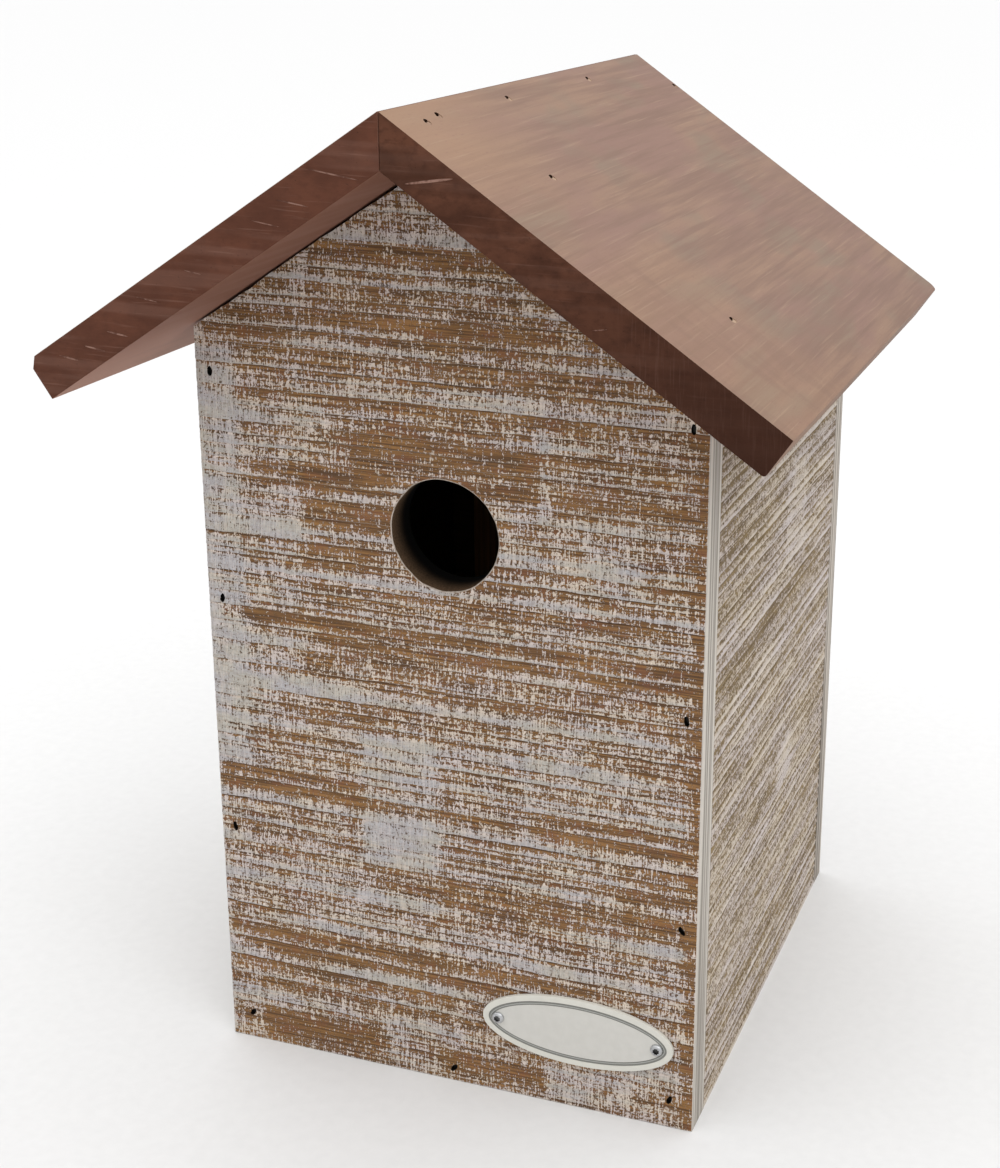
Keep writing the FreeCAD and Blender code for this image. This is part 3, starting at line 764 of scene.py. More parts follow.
def whitewashed_board(name, look, browns, whites, flecked, contrast, long):
    """Rough-sawn spruce, stained brown and dry-brushed with white: the brush catches the lower edge of each
    saw stroke and breaks up into flecks above it. Thin white is warm, thick white is cool, and the wood under
    it warms or cools the whole from place to place. The last three say how much the white breaks up, how
    sharp its flecks are, and how far they are drawn out along the board."""
    stain, stain_deep, red, fleck_shade = browns
    veil, paint, paint_cool = whites
    made, tree, where = blank(name)
    level = put(tree, "Attribute", attribute_name="paint").outputs["Fac"]
    dirt_and_shade = put(tree, "Attribute", attribute_name="groove_dirt_and_shade").outputs["Fac"]
    flecks = grain(tree, where, (0.8 * long, 0.8 * long, 0.75), detail=1, distortion=0.8)
    specks = grain(tree, where, (0.4 * long, 0.4 * long, 0.9), detail=1)
    dashes = grain(tree, where, (2.8 * long, 2.8 * long, 0.55), detail=2)
    threads = grain(tree, where, (0.45, 0.45, 4.5), detail=1)
    streaks = grain(tree, where, (26, 26, 0.6), detail=3)
    patches = grain(tree, where, (9, 9, 4), detail=2)
    tones = grain(tree, where, (12 * long, 12 * long, 5), detail=4)
    broken = level
    for pattern, share in ((flecks, 2.0), (specks, 1.5), (dashes, 1.3), (threads, 1.9), (streaks, 0.6)):
        away = put(tree, "Math", {0: pattern, 1: 0.5}, operation="SUBTRACT").outputs["Value"]
        broken = put(tree, "Math", {0: away, 1: share * flecked, 2: broken},
                     operation="MULTIPLY_ADD").outputs["Value"]
    white = share_of(tree, 1, (broken, 0.5 - 0.5 / contrast, 0.5 + 0.5 / contrast))
    brown = laid(tree, stain_deep, stain, 1, (streaks, 0.35, 0.65))
    brown = laid(tree, brown, red, 0.5, (patches, 0.5, 0.68))
    # Painted shade: the brown darkens beside close flecks of white
    brown = laid(tree, brown, fleck_shade, 0.75, (broken, 0.1, 0.5))
    brown = laid(tree, brown, look.speck, 0.7, (level, 0.55, 0.95))
    # Dirt and painted shade in the saw marks darken the brown
    grime_and_shade = put(tree, "Math", {0: dirt_and_shade, 1: 0.75}, operation="MULTIPLY").outputs["Value"]
    brown = laid(tree, brown, look.groove_dirt_and_shade, grime_and_shade)
    cover = laid(tree, paint, paint_cool, 1, (level, 0.5, 0.95))
    cover = laid(tree, cover, veil, 0.35, (broken, 0.9, 0.5))
    cover = laid(tree, cover, veil, 0.3, (dashes, 0.4, 0.65))
    cover = laid(tree, cover, veil, 0.35 * flecked, (specks, 0.52, 0.66))
    cover = laid(tree, cover, paint, 0.3 * flecked, (threads, 0.5, 0.62))
    warmth = laid(tree, look.cooled, look.warmed, 1, (tones, 0.35, 0.65))
    colour = put(tree, "Mix", {0: 1.0, 6: laid(tree, brown, cover, white), 7: warmth},
                 data_type="RGBA", blend_type="MULTIPLY").outputs[2]
    height = put(tree, "Math", {0: white, 1: 0.5, 2: flecks}, operation="MULTIPLY_ADD").outputs["Value"]
    roughness = put(tree, "MapRange", {"Value": white, "To Min": 0.88, "To Max": 0.78},
                    interpolation_type="SMOOTHSTEP").outputs["Result"]
    close(tree, colour, roughness, height, 0.3, specular=0.25)
    return made


def ply_edge(name, dull, pale, sizes):
    """Sawn edge of plywood under thin white: its layers, with sizes in millimetres, show as soft lines."""
    made, tree, where = blank(name)
    layers = grain(tree, where, sizes, detail=2)
    fibres = grain(tree, where, (0.4, 0.4, 5), detail=2)
    shade = laid(tree, linear(dull), linear(pale), 1, (layers, 0.4, 0.6))
    shade = laid(tree, shade, linear("#9A8D80"), 0.3, (fibres, 0.5, 0.8))
    close(tree, shade, 0.85, fibres, 0.3, specular=0.25)
    return made


def bare_wood(name, colour, dark, along):
    """Planed softwood: darker rings drawn out along the board, and fine pores."""
    made, tree, where = blank(name)
    rings = grain(tree, where, [60 if axis == along else 1.6 for axis in range(3)], detail=4, distortion=0.4)
    pores = grain(tree, where, [8 if axis == along else 0.35 for axis in range(3)], detail=2)
    shade = laid(tree, colour, dark, 0.8, (rings, 0.35, 0.75))
    shade = laid(tree, shade, dark, 0.3, (pores, 0.55, 0.8))
    close(tree, shade, 0.78, pores, 0.2, specular=0.25)
    return made


def dark_hole(name, colour, front=None):
    """Fibres in a hole, dark with stain and shade. With a front, painted shade turns the hole black some way
    behind it.
    """
    made, tree, where = blank(name)
    fibres = grain(tree, where, (0.5, 0.5, 0.5))
    shade = laid(tree, linear("#0B0907"), linear(colour), fibres)
    if front is not None:
        depth = put(tree, "SeparateXYZ", {"Vector": where}).outputs["Y"]
        # Painted shade: the bore turns black some way behind the front
        shade = laid(tree, shade, linear("#050403"), 1, (depth, front, front + BLACK_FROM))
    close(tree, shade, 0.9, fibres, 0.3, specular=0.1)
    return made


def torn_fibre(name, colour, dull):
    """Wood fibre laid bare and pale by a blow or a scratch."""
    made, tree, where = blank(name)
    fibres = grain(tree, where, (1.8, 1.8, 1.8), detail=2)
    close(tree, laid(tree, colour, dull, 1, (fibres, 0.4, 0.62)), 0.85, fibres, 0.3)
    return made


def stained_top(name, roof):
    """Planed pine under a thin stain that has paled in the light: soft bands, fine streaks and pale hairs
    along the ridge, greyed in patches, warmer at the front of the ridge, and smudged across the grain at the
    front of the eave."""
    made, tree, where = blank(name)
    away, back = from_ridge(tree, where)
    patches = grain(tree, where, (22, 60, 22), detail=3)
    greyed = grain(tree, where, (16, 40, 16), detail=2, turn=(0, 0, math.radians(12)))
    bands = grain(tree, where, (6, 70, 6), detail=3, distortion=0.4)
    streaks = grain(tree, where, (2.2, 55, 2.2), detail=3)
    smudges = grain(tree, where, (26, 7, 26), detail=2)
    hairs = grain(tree, where, (0.8, 30, 0.8), detail=2)
    pores = grain(tree, where, (0.5, 2.4, 0.5), detail=2)
    by_ridge = (back, -40 * MM, -100 * MM), (away, 50 * MM, 0)
    by_eave = (back, -50 * MM, -70 * MM), (away, 45 * MM, 60 * MM)
    shade = laid(tree, roof.top_warm, roof.top, 1, (patches, 0.38, 0.62))
    shade = laid(tree, shade, roof.top_grey, 0.8, (greyed, 0.5, 0.68))
    shade = laid(tree, shade, roof.band, 0.5, (bands, 0.42, 0.7))
    shade = laid(tree, shade, roof.band, 0.75, (streaks, 0.4, 0.68))
    shade = laid(tree, shade, roof.top_front, 0.75, *by_ridge)
    shade = laid(tree, shade, roof.top_front, 0.3, *by_eave)
    shade = laid(tree, shade, roof.band, 0.35, (smudges, 0.45, 0.7), *by_eave)
    shade = laid(tree, shade, roof.hair, 0.4, (hairs, 0.55, 0.85))
    shade = laid(tree, shade, roof.under, 0.45, (pores, 0.55, 0.78))
    close(tree, shade, 0.72, hairs, 0.15, specular=0.3)
    return made


def shaded_stain(name, roof):
    """Stained pine that stays in the shade under the roof: smooth, with painted shade towards the ridge and
    painted light, as from the floor, towards the eave.
    """
    made, tree, where = blank(name)
    away, _ = from_ridge(tree, where)
    bands = grain(tree, where, (5, 70, 5), detail=3)
    fibres = grain(tree, where, (0.6, 10, 0.6), detail=2)
    # Painted light: paler towards the eave, as lit from the floor; painted shade towards the ridge
    shade = laid(tree, roof.under_shade_and_fibre, roof.under_painted_light, 1, (away, 55 * MM, 95 * MM))
    shade = laid(tree, shade, roof.under, 0.35, (bands, 0.4, 0.7))
    shade = laid(tree, shade, roof.under_shade_and_fibre, 0.15, (fibres, 0.6, 0.8))
    close(tree, shade, 0.7, fibres, 0.1, specular=0.3)
    return made


def stained_end(name, roof, shade, deep, banded, lined):
    """Sawn end of a stained board: it drank the stain in blotches and stayed dark. The saw left soft level
    bands, and the end grain shows as fine upright lines towards the eave, where the stain is deeper."""
    made, tree, where = blank(name)
    away, _ = from_ridge(tree, where)
    tilt = (0, math.radians(-4), 0)
    patches = grain(tree, where, (11, 11, 7), detail=4)
    blotches = grain(tree, where, (2.6, 2.6, 2.0), detail=3)
    bands = grain(tree, where, (70, 70, 3.2), detail=1, turn=tilt)
    scratches = grain(tree, where, (14, 14, 0.7), detail=2, turn=tilt)
    lines = grain(tree, where, (0.5, 9, 9), detail=2)
    chips = grain(tree, where, (0.9, 0.9, 0.9), detail=2)
    shade = laid(tree, shade, deep, 0.7, (patches, 0.7, 0.3))
    shade = laid(tree, shade, deep, 0.5, (blotches, 0.45, 0.75))
    shade = laid(tree, shade, roof.under, 0.35 * banded, (bands, 0.5, 0.68))
    shade = laid(tree, shade, roof.under, 0.5 * banded, (scratches, 0.58, 0.76))
    shade = laid(tree, shade, roof.under, 0.5 * lined, (lines, 0.5, 0.75), (away, 50 * MM, 90 * MM))
    shade = laid(tree, shade, deep, lined, (away, 20 * MM, 100 * MM))
    shade = laid(tree, shade, linear("#2A1811"), 0.5, (chips, 0.66, 0.8))
    close(tree, shade, 0.75, scratches, 0.25, specular=0.1)
    return made


def enamel(name, colour):
    """Satin enamel on sheet metal: even, with a faint mottle and a soft shine."""
    made, tree, where = blank(name)
    mottle = grain(tree, where, (2.5, 2.5, 2.5))
    shade = laid(tree, colour, linear("#8F8E86"), 0.08, (mottle, 0.3, 0.7))
    close(tree, shade, 0.42, mottle, 0.03)
    return made


def plated_steel(name, colour, dull):
    """Plated steel: a grey metal with a cloudy, duller spangle, rubbed bright in fine level lines."""
    made, tree, where = blank(name)
    spangle = grain(tree, where, (3.5, 3.5, 3.5), detail=4)
    rubbed = grain(tree, where, (9, 9, 0.25), detail=2)
    shade = laid(tree, colour, dull, 1, (spangle, 0.25, 0.75))
    shade = laid(tree, shade, colour, 0.25, (rubbed, 0.5, 0.8))
    roughness = put(tree, "MapRange", {"Value": spangle, "From Min": 0.3, "From Max": 0.7, "To Min": 0.3,
                                       "To Max": 0.48}, interpolation_type="SMOOTHSTEP").outputs["Result"]
    close(tree, shade, roughness, rubbed, 0.05, metallic=1.0)
    return made


def material(key):
    """A material by its name, made the first time that it is asked for."""
    scene = bpy.context.scene
    boards, roof, fittings = scene.nestbox_boards, scene.nestbox_roof, scene.nestbox_fittings
    bare = (fittings.bare, linear("#8F6840"))
    along_x, along_y, along_z = range(3)
    makers = {
        "whitewashed spruce": lambda: whitewashed_board(
            key, boards, (boards.stain, boards.stain_deep, boards.red_stain, boards.fleck_shade),
            (boards.veil, boards.paint, boards.paint_cool), flecked=1.0, contrast=3.6, long=1.0),
        "whitewashed side spruce": lambda: whitewashed_board(
            key, boards, (boards.side_stain, boards.side_deep, boards.side_stain, boards.side_deep),
            (boards.side_veil, boards.side_paint, boards.side_cool), flecked=0.58, contrast=2.15, long=2.6),
        "whitened plywood edge": lambda: ply_edge(key, "#8F8981", "#C9C2B9", (160, 1.3, 160)),
        "worn plywood edge": lambda: ply_edge(key, "#7F776E", "#BDB4AA", (160, 1.3, 160)),
        "whitened side edge": lambda: ply_edge(key, "#8F8981", "#C9C2B9", (1.3, 160, 160)),
        "worn entrance edge": lambda: ply_edge(key, "#9A8D80", "#B8ADA2", (1.3, 1.3, 160)),
        "stained inner spruce": lambda: bare_wood(key, linear("#5E4632"), linear("#3F2D1D"), along_x),
        "bare floor spruce": lambda: bare_wood(key, *bare, along_y),
        "bare upright spruce": lambda: bare_wood(key, *bare, along_z),
        "bare level spruce": lambda: bare_wood(key, *bare, along_x),
        "stained bore": lambda: dark_hole(key, "#4A3525"),
        "stained entrance": lambda: dark_hole(key, "#80664E", FRONT_LOW.y),
        "torn pit": lambda: dark_hole(key, "#15100B"),
        "torn roof pit": lambda: dark_hole(key, "#4A3022"),
        "torn roof fibre": lambda: torn_fibre(key, roof.hair, linear("#8C6F5C")),
        "scratched roof end": lambda: torn_fibre(key, linear("#8E6C5E"), roof.end),
        "stained pine top": lambda: stained_top(key, roof),
        "stained left end": lambda: stained_end(key, roof, roof.end, roof.end_deep, banded=0.5, lined=0.0),
        "stained right end": lambda: stained_end(
            key, roof, roof.right_end, roof.right_end_deep, banded=0.25, lined=0.85),
        "stained pine underside": lambda: shaded_stain(key, roof),
        "cream enamel": lambda: enamel(key, fittings.plate),
        "pale enamel": lambda: enamel(key, fittings.plate_field),
        "grey enamel line": lambda: enamel(key, fittings.plate_line),
        "grey enamel band": lambda: enamel(key, fittings.plate_band),
        "zinc-plated steel": lambda: plated_steel(key, fittings.zinc, linear("#8B8D8F")),
        "bright steel": lambda: plated_steel(key, fittings.bright, fittings.zinc),
        # Steel for the screws' recesses: painted shade in the recess
        "shaded steel": lambda: plated_steel(key, linear("#6A6A69"), linear("#343332")),
        "dark steel": lambda: plated_steel(key, linear("#2B2A29"), linear("#151413")),
    }
    return bpy.data.materials.get(key) or makers[key]()


# Steps that the wall boards share
def roof_out(side):
    """The way out of the roof's slope on the left, -1, or on the right, 1."""
    return Vector((side * math.sin(PITCH), 0, math.cos(PITCH)))


def gabled_board(name, face, width, thickness, marks, look, drops):
    """A sawn board under the gable. The drops are the gaps below the roof on the left and on the right."""
    high = (width, PEAK)
    board = sawn_board(name, face, (0, 0), high, marks, look.column)
    for side, drop in zip((-1, 1), drops):
        way = roof_out(side)
        slice_off(board, Vector((0, 0, PEAK)) - way * drop, way, fill=False)
    thicken(board, face, thickness, (0, width))
    wear_arrises(board, face, (0, 0), high, look.edge_round)
    undressed(board)
    return board


def dress_wall(board, face, width, rim, outer, edge):
    """Dress a wall board's outer face, its edges, and its inner face, whose rim is like the edges."""
    def pick(middle, normal):
        out = normal.dot(face.out)
        along = (middle - face.corner).dot(face.along)
        inner = out < -MOSTLY and min(along, width - along) >= rim
        return 0 if out > MOSTLY else (2 if inner else 1)
    dress(board, (outer, edge, "stained inner spruce"), pick)


def brad_pits(nodes, out, look, tilts):
    """Cutter for the pits over the brads of some nodes, each turned by a tilt in degrees."""
    cutters = []
    for number, (middle, low, high) in enumerate(item for node in nodes for item in islands(node)):
        tilt = Matrix.Rotation(math.radians(tilts[number % len(tilts)]), 3, out)
        surface = Vector((middle.x, (high if out.y > 0 else low).y + BRAD_SINK * out.y, middle.z))
        cutters.append(pit_cutter(surface, out, tilt @ UP, look, number))
    return finished(joined("pits", cutters), "torn pit")


def drawn_strokes(draw, pitch, bar, spread, height):
    """Saw strokes, drawn about a pitch, and their white bars, drawn about a height, in millimetres. The
    spread is the share by which they differ."""
    strokes = [(0.0, bar)]
    while strokes[-1][0] < height + pitch:
        share = 1 + draw.uniform(-spread, spread)
        strokes.append((strokes[-1][0] + pitch * share, bar * (1 + draw.uniform(-spread, spread))))
    return strokes


def drawn_lifts(draw):
    """Places along a board, in millimetres, where the brush was set down afresh."""
    lifts = [0.0]
    while lifts[-1] < LONGEST_BOARD:
        lifts.append(lifts[-1] + draw.uniform(*BRUSH_RUN))
    return lifts


class NESTBOX_OT_front_board(bpy.types.Operator):
    """Front board with the entrance, its saw marks and the pits over its brads"""
    bl_idname = "nestbox.front_board"
    bl_label = "Front board"

    def execute(self, context):
        look = context.scene.nestbox_boards
        face = face_of("front_panel", TO_FRONT)
        width = FRONT_HIGH.x - FRONT_LOW.x
        thickness = FRONT_HIGH.y - FRONT_LOW.y
        marks = SawMarks(look.seed, FRONT_STROKES, FRONT_LIFTS, FRONT_BRUSHING, FRONT_BRUSH)
        board = gabled_board("front_board", face, width, thickness, marks, look, (look.gable_gap, 0))
        start = Vector((0, FRONT_LOW.y, ENTRANCE["pos_m"][2]))
        mouth = mouth_cutter(ENTRANCE["dims"]["r_mm"] * MM, start, -TO_FRONT, thickness, look.mouth_chamfer)
        pits = brad_pits(("front_left_brads", "front_right_brads", "front_floor_brad"), TO_FRONT, look,
                         FRONT_TILTS)
        cut_out(board, (mouth, pits))
        press_marks(board, face, marks, look.stroke_depth, look.notch_depth)
        dress_wall(board, face, width, INNER_RIM, "whitewashed spruce", "whitened plywood edge")
        place_on(board, "box", "whitewashed_board", "front_panel")
        return {"FINISHED"}


class NESTBOX_OT_side_boards(bpy.types.Operator):
    """Side boards, with their tops sawn to the roof's pitch"""
    bl_idname = "nestbox.side_boards"
    bl_label = "Side boards"

    def execute(self, context):
        look = context.scene.nestbox_boards
        for number, (node, out) in enumerate((("left_side_panel", TO_LEFT), ("right_side_panel", TO_RIGHT))):
            low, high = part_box(node)
            length = high.y - low.y
            face = face_of(node, out)
            draw = random.Random(look.seed + 20 + number)
            strokes = drawn_strokes(draw, look.side_pitch / MM, SIDE_BAR, SIDE_SPREAD, high.z / MM)
            marks = SawMarks(look.seed + 30 + number, strokes, drawn_lifts(draw), SIDE_BRUSHING, SIDE_BRUSH)
            name = node.replace("panel", "board")
            board = sawn_board(name, face, (0, 0), (length, high.z), marks, look.side_column)
            thicken(board, face, high.x - low.x, (0, length))
            slice_off(board, Vector((0, 0, PEAK)), roof_out(out.x))
            press_marks(board, face, marks, look.side_stroke_depth, look.notch_depth)
            dress_wall(board, face, length, 0, "whitewashed side spruce", "whitened side edge")
            place_on(board, "box", "whitewashed_board", node)
        return {"FINISHED"}


class NESTBOX_OT_back_boards(bpy.types.Operator):
    """Back board with the hatch's opening and the hanging hole, and the hatch sawn out of the same board"""
    bl_idname = "nestbox.back_boards"
    bl_label = "Back board and hatch"

    def execute(self, context):
        look = context.scene.nestbox_boards
        face = face_of("back_panel", TO_BACK)
        width = BACK_HIGH.x - BACK_LOW.x
        thickness = BACK_HIGH.y - BACK_LOW.y
        draw = random.Random(look.seed + 40)
        strokes = drawn_strokes(draw, look.stroke_pitch / MM, BACK_BAR, BACK_SPREAD, PEAK / MM)
        marks = SawMarks(look.seed + 50, strokes, drawn_lifts(draw), BACK_BRUSHING, BACK_BRUSH)
        board = gabled_board("back_board", face, width, thickness, marks, look, (0, 0))
        hatch_low, hatch_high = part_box("cleaning_hatch")
        room = Vector((look.hatch_gap, 2 * MARGIN, look.hatch_gap))
        opening = finished(block("opening", hatch_low - room, hatch_high + room), "whitened plywood edge")
        inside = Vector(HANGING["pos_m"]) - TO_BACK * thickness
        hole = drum("hole", HANGING["dims"]["r_mm"] * MM, inside, TO_BACK, 2 * thickness, 48)
        pits = brad_pits(("back_left_brads", "back_right_brads", "back_floor_brad"), TO_BACK, look,
                         BACK_TILTS)
        cut_out(board, (opening, finished(hole, "stained bore"), pits))
        press_marks(board, face, marks, look.stroke_depth, look.notch_depth)
        dress_wall(board, face, width, INNER_RIM, "whitewashed spruce", "worn plywood edge")
        place_on(board, "box", "whitewashed_board", "back_panel")
        ends = sorted((corner - face.corner).dot(face.along) for corner in (hatch_low, hatch_high))
        low, high = (ends[0], hatch_low.z), (ends[1], hatch_high.z)
        hatch = sawn_board("hatch_board", face, low, high, marks, look.column)
        thicken(hatch, face, thickness, ends)
        wear_arrises(hatch, face, low, high, look.edge_round)
        press_marks(hatch, face, marks, look.stroke_depth, look.notch_depth)
        dress_wall(hatch, face, width, INNER_RIM, "whitewashed spruce", "whitened plywood edge")
        place_on(hatch, "hatch", "whitewashed_board", "cleaning_hatch")
        return {"FINISHED"}


class NESTBOX_OT_floor_and_battens(bpy.types.Operator):
    """Floor with its drains, and the battens that stop the hatch"""
    bl_idname = "nestbox.floor_and_battens"
    bl_label = "Floor and battens"

    def execute(self, context):
        look = context.scene.nestbox_boards
        low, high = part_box("floor_panel")
        floor = block("floor_board", low, high)
        finish_with(floor, "BEVEL", width=look.edge_round, segments=2)
        undressed(floor)
        through = high.z - low.z + 3 * MARGIN
        drains = []
        for x in (-look.drain_x, look.drain_x):
            for y in (look.drain_front, look.drain_back):
                start = Vector((x, y, low.z - MARGIN))
                drains.append(drum("drain", look.drain_radius, start, UP, through, 32))
        cut_out(floor, (finished(joined("drains", drains), "stained bore"),))
        dress(floor, ("bare floor spruce",), lambda middle, normal: 0)
        place_on(floor, "box", "bare_board", "floor_panel")
        low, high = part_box("hatch_stop_battens")
        left, right = low.x + look.batten_width, high.x - look.batten_width
        battens = joined("battens", [
            block("upright", low, Vector((left, high.y, high.z))),
            block("upright", Vector((right, low.y, low.z)), high),
            block("rail", Vector((left, low.y, low.z)), Vector((right, high.y, low.z + look.batten_width))),
            block("rail", Vector((left, low.y, high.z - look.batten_width)), Vector((right, high.y, high.z))),
        ])
        finish_with(battens, "BEVEL", width=look.edge_round, segments=2)
        dress(battens, ("bare upright spruce", "bare level spruce"),
              lambda middle, normal: left < middle.x < right)
        place_on(battens, "box", "bare_board", "hatch_stop_battens")
        return {"FINISHED"}


# Roof
def roof_ways(side):
    """The ways down the slope, out of it and along the ridge, on the left, -1, or on the right, 1."""
    down = Vector((side * math.cos(PITCH), 0, -math.sin(PITCH)))
    return down, roof_out(side), Vector((0, side, 0))


def roof_plank(name, side, roof):
    """A roof board, planed flat with its slope along X, then laid on the gable and mitred at the ridge."""
    down, out, lateral = roof_ways(side)
    ends = sorted((ROOF_LOW.y * side, ROOF_HIGH.y * side))
    plank = block(name, Vector((0, ends[0], -ROOF_THICKNESS)), Vector((ROOF_SLOPE, ends[1], 0)))

    def at_back_corner(point):
        return point.x > ROOF_SLOPE - MARGIN and point.y * side > 0

    def at_upper_eave(point):
        return point.x > ROOF_SLOPE - MARGIN and point.z > -MARGIN

    def at_lower_eave(point):
        return point.x > ROOF_SLOPE - MARGIN and point.z < MARGIN - ROOF_THICKNESS
    bevel_edges(plank, at_back_corner, roof.corner_round, 5)
    if side < 0:
        bevel_edges(plank, at_upper_eave, roof.chip, 1)
    else:
        bevel_edges(plank, at_lower_eave, roof.eave_round, 3)
    place = Matrix((down, lateral, out)).transposed().to_4x4()
    plank.matrix_world = Matrix.Translation((0, 0, RIDGE)) @ place
    pick_up(plank)
    bpy.ops.object.transform_apply(location=True, rotation=True, scale=True)
    slice_off(plank, Vector((side * roof.seam / 2, 0, RIDGE)), Vector((-side, 0, 0)))
    finish_with(plank, "BEVEL", width=roof.edge_round, segments=2, limit_method="ANGLE", angle_limit=SHARP)
    undressed(plank)
    return plank


def roof_cutters(side, nodes, roof):
    """Cutters for the holes over a roof board's brads, the scuffs beside them and its end's scratches."""
    down, out, lateral = roof_ways(side)
    tops = []
    for node in nodes:
        brads = islands(node)
        if node == CLOSED_OVER:
            brads = brads[1:]
        tops += [middle + out * (RIDGE * out.z - middle.dot(out)) for middle, _, _ in brads]
    if side > 0:
        tops.append(Vector((0, ROOF_LOW.y + roof.dent_back, RIDGE)) + down * roof.dent_down)
    scuff = Pit(roof.scuff_width, roof.scuff_length, roof.scuff_depth)
    dishes = [pit_cutter(top + down * roof.scuff_down, out, lateral, scuff, number + 40)
              for number, top in enumerate(tops)]
    pits = [pit_cutter(top, out, lateral, roof, number) for number, top in enumerate(tops)]
    cutters = [finished(joined("dishes", dishes), "torn roof fibre"),
               finished(joined("pits", pits), "torn roof pit")]
    level = Matrix.Rotation(math.radians(SCRATCH_TILT[side]), 3, "Y") @ TO_RIGHT
    for number, (along, from_top, length, width) in enumerate(ROOF_SCRATCHES[side]):
        point = Vector((0, ROOF_LOW.y, RIDGE)) + (along * down - from_top * out) * MM
        scratch = Pit(width * MM, length * MM, roof.scratch_depth)
        cutter = pit_cutter(point, TO_FRONT, level, scratch, number + 60)
        cutters.append(finished(cutter, "scratched roof end"))
    return cutters


class NESTBOX_OT_roof_boards(bpy.types.Operator):
    """Roof boards, mitred at the ridge, with holes and dents over their brads"""
    bl_idname = "nestbox.roof_boards"
    bl_label = "Roof boards"

    def execute(self, context):
        roof = context.scene.nestbox_roof
        sides = (
            (-1, "left_roof", "stained left end", []),
            (1, "right_roof", "stained right end", ["ridge_brads"]),
        )
        for side, name, end, more_brads in sides:
            down, out, _ = roof_ways(side)
            plank = roof_plank(name + "_plank", side, roof)
            nodes = [name + "_front_brads", name + "_back_brads"] + more_brads
            cut_out(plank, roof_cutters(side, nodes, roof))

            def pick(middle, normal):
                if abs(normal.y) > MOSTLY:
                    return 1
                return 0 if normal.dot(out) > MOSTLY or normal.dot(down) > MOSTLY else 2
            dress(plank, ("stained pine top", end, "stained pine underside"), pick)
            place_on(plank, "box", "stained_roof_board", name + "_board")
        return {"FINISHED"}


class NESTBOX_OT_oval_plate(bpy.types.Operator):
    """Oval plate with its rim and its double border line pressed in"""
    bl_idname = "nestbox.oval_plate"
    bl_label = "Oval plate"

    def execute(self, context):
        look = context.scene.nestbox_fittings
        low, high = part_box("oval_plate")
        middle = (low + high) / 2
        bpy.ops.object.select_all(action="DESELECT")
        bpy.ops.mesh.primitive_cylinder_add(
            vertices=160, radius=0.5, depth=1, location=middle, rotation=(math.radians(90), 0, 0),
            scale=(high.x - low.x, high.z - low.z, high.y - low.y))
        plate = finished(named("oval_plate_sheet"), "cream enamel", "grey enamel line", "pale enamel",
                         "grey enamel band")
        rim, line, field, band = range(4)
        choose(plate, "FACE", lambda place, normal: normal.y < -FACING)
        bpy.ops.mesh.inset(thickness=look.plate_edge)
        rings = ((rim, look.plate_rim), (line, look.line), (band, look.line_gap), (line, look.thin_line))
        for finish, width in rings + ((field, 0),):
            plate.active_material_index = finish
            bpy.ops.object.material_slot_assign()
            if width:
                bpy.ops.mesh.inset(thickness=width)
        bpy.ops.mesh.select_all(action="DESELECT")
        plate.active_material_index = line
        bpy.ops.object.material_slot_select()
        bpy.ops.mesh.extrude_region_move(TRANSFORM_OT_translate={"value": (0, look.line_depth, 0)})
        leave()

        def on_outline(point):
            across = (point.x - middle.x) / (high.x - low.x)
            upward = (point.z - middle.z) / (high.z - low.z)
            return abs(point.y - low.y) < SAME and math.hypot(across, upward) > 0.4999
        bevel_edges(plate, on_outline, look.plate_round, 2)
        holes = []
        for place, _, _ in islands("oval_plate_screws"):
            start = Vector((place.x, low.y - MARGIN, place.z))
            holes.append(drum("hole", look.plate_hole / 2, start, TO_BACK, 3 * MARGIN, 24))
        cut_out(plate, (joined("holes", holes),))
        place_on(plate, "box", "cream_plate", "oval_plate")
        return {"FINISHED"}


def screw(name, tip, head, head_radius, head_height, shank_radius, way, domed):
    """A screw with a crossed recess, from its tip to the top of its head, which is domed or countersunk."""
    rim = head_height if domed else HEAD_EDGE
    made = drum(name, head_radius, head - way * rim, way, rim, 32)
    if domed:
        bevel_edges(made, lambda point: (point - head).dot(way) > -SAME, DOMED_SHARE * head_height, 5)
    choose(made, "FACE", lambda middle, normal: normal.dot(way) < -FACING)
    if domed:
        bpy.ops.mesh.inset(thickness=head_radius - shank_radius)
    else:
        draw_out(-way * (head_height - rim), shank_radius / head_radius, head - way * head_height)
    draw_out(-way * ((head - tip).length - head_height), TIP_SHARE, tip)
    leave()
    finished(made, "bright steel")
    across = way.orthogonal().normalized()
    bars = []
    for first in (across, across.cross(way)):
        half = (first * head_radius * RECESS_REACH + first.cross(way) * head_radius * RECESS_HALF
                + way * head_height * RECESS_DEPTH)
        half = Vector([abs(value) for value in half])
        # The recess takes shaded steel: painted shade
        bars.append(finished(block("bar", head - half, head + half), "shaded steel"))
    cut_out(made, bars)
    return made


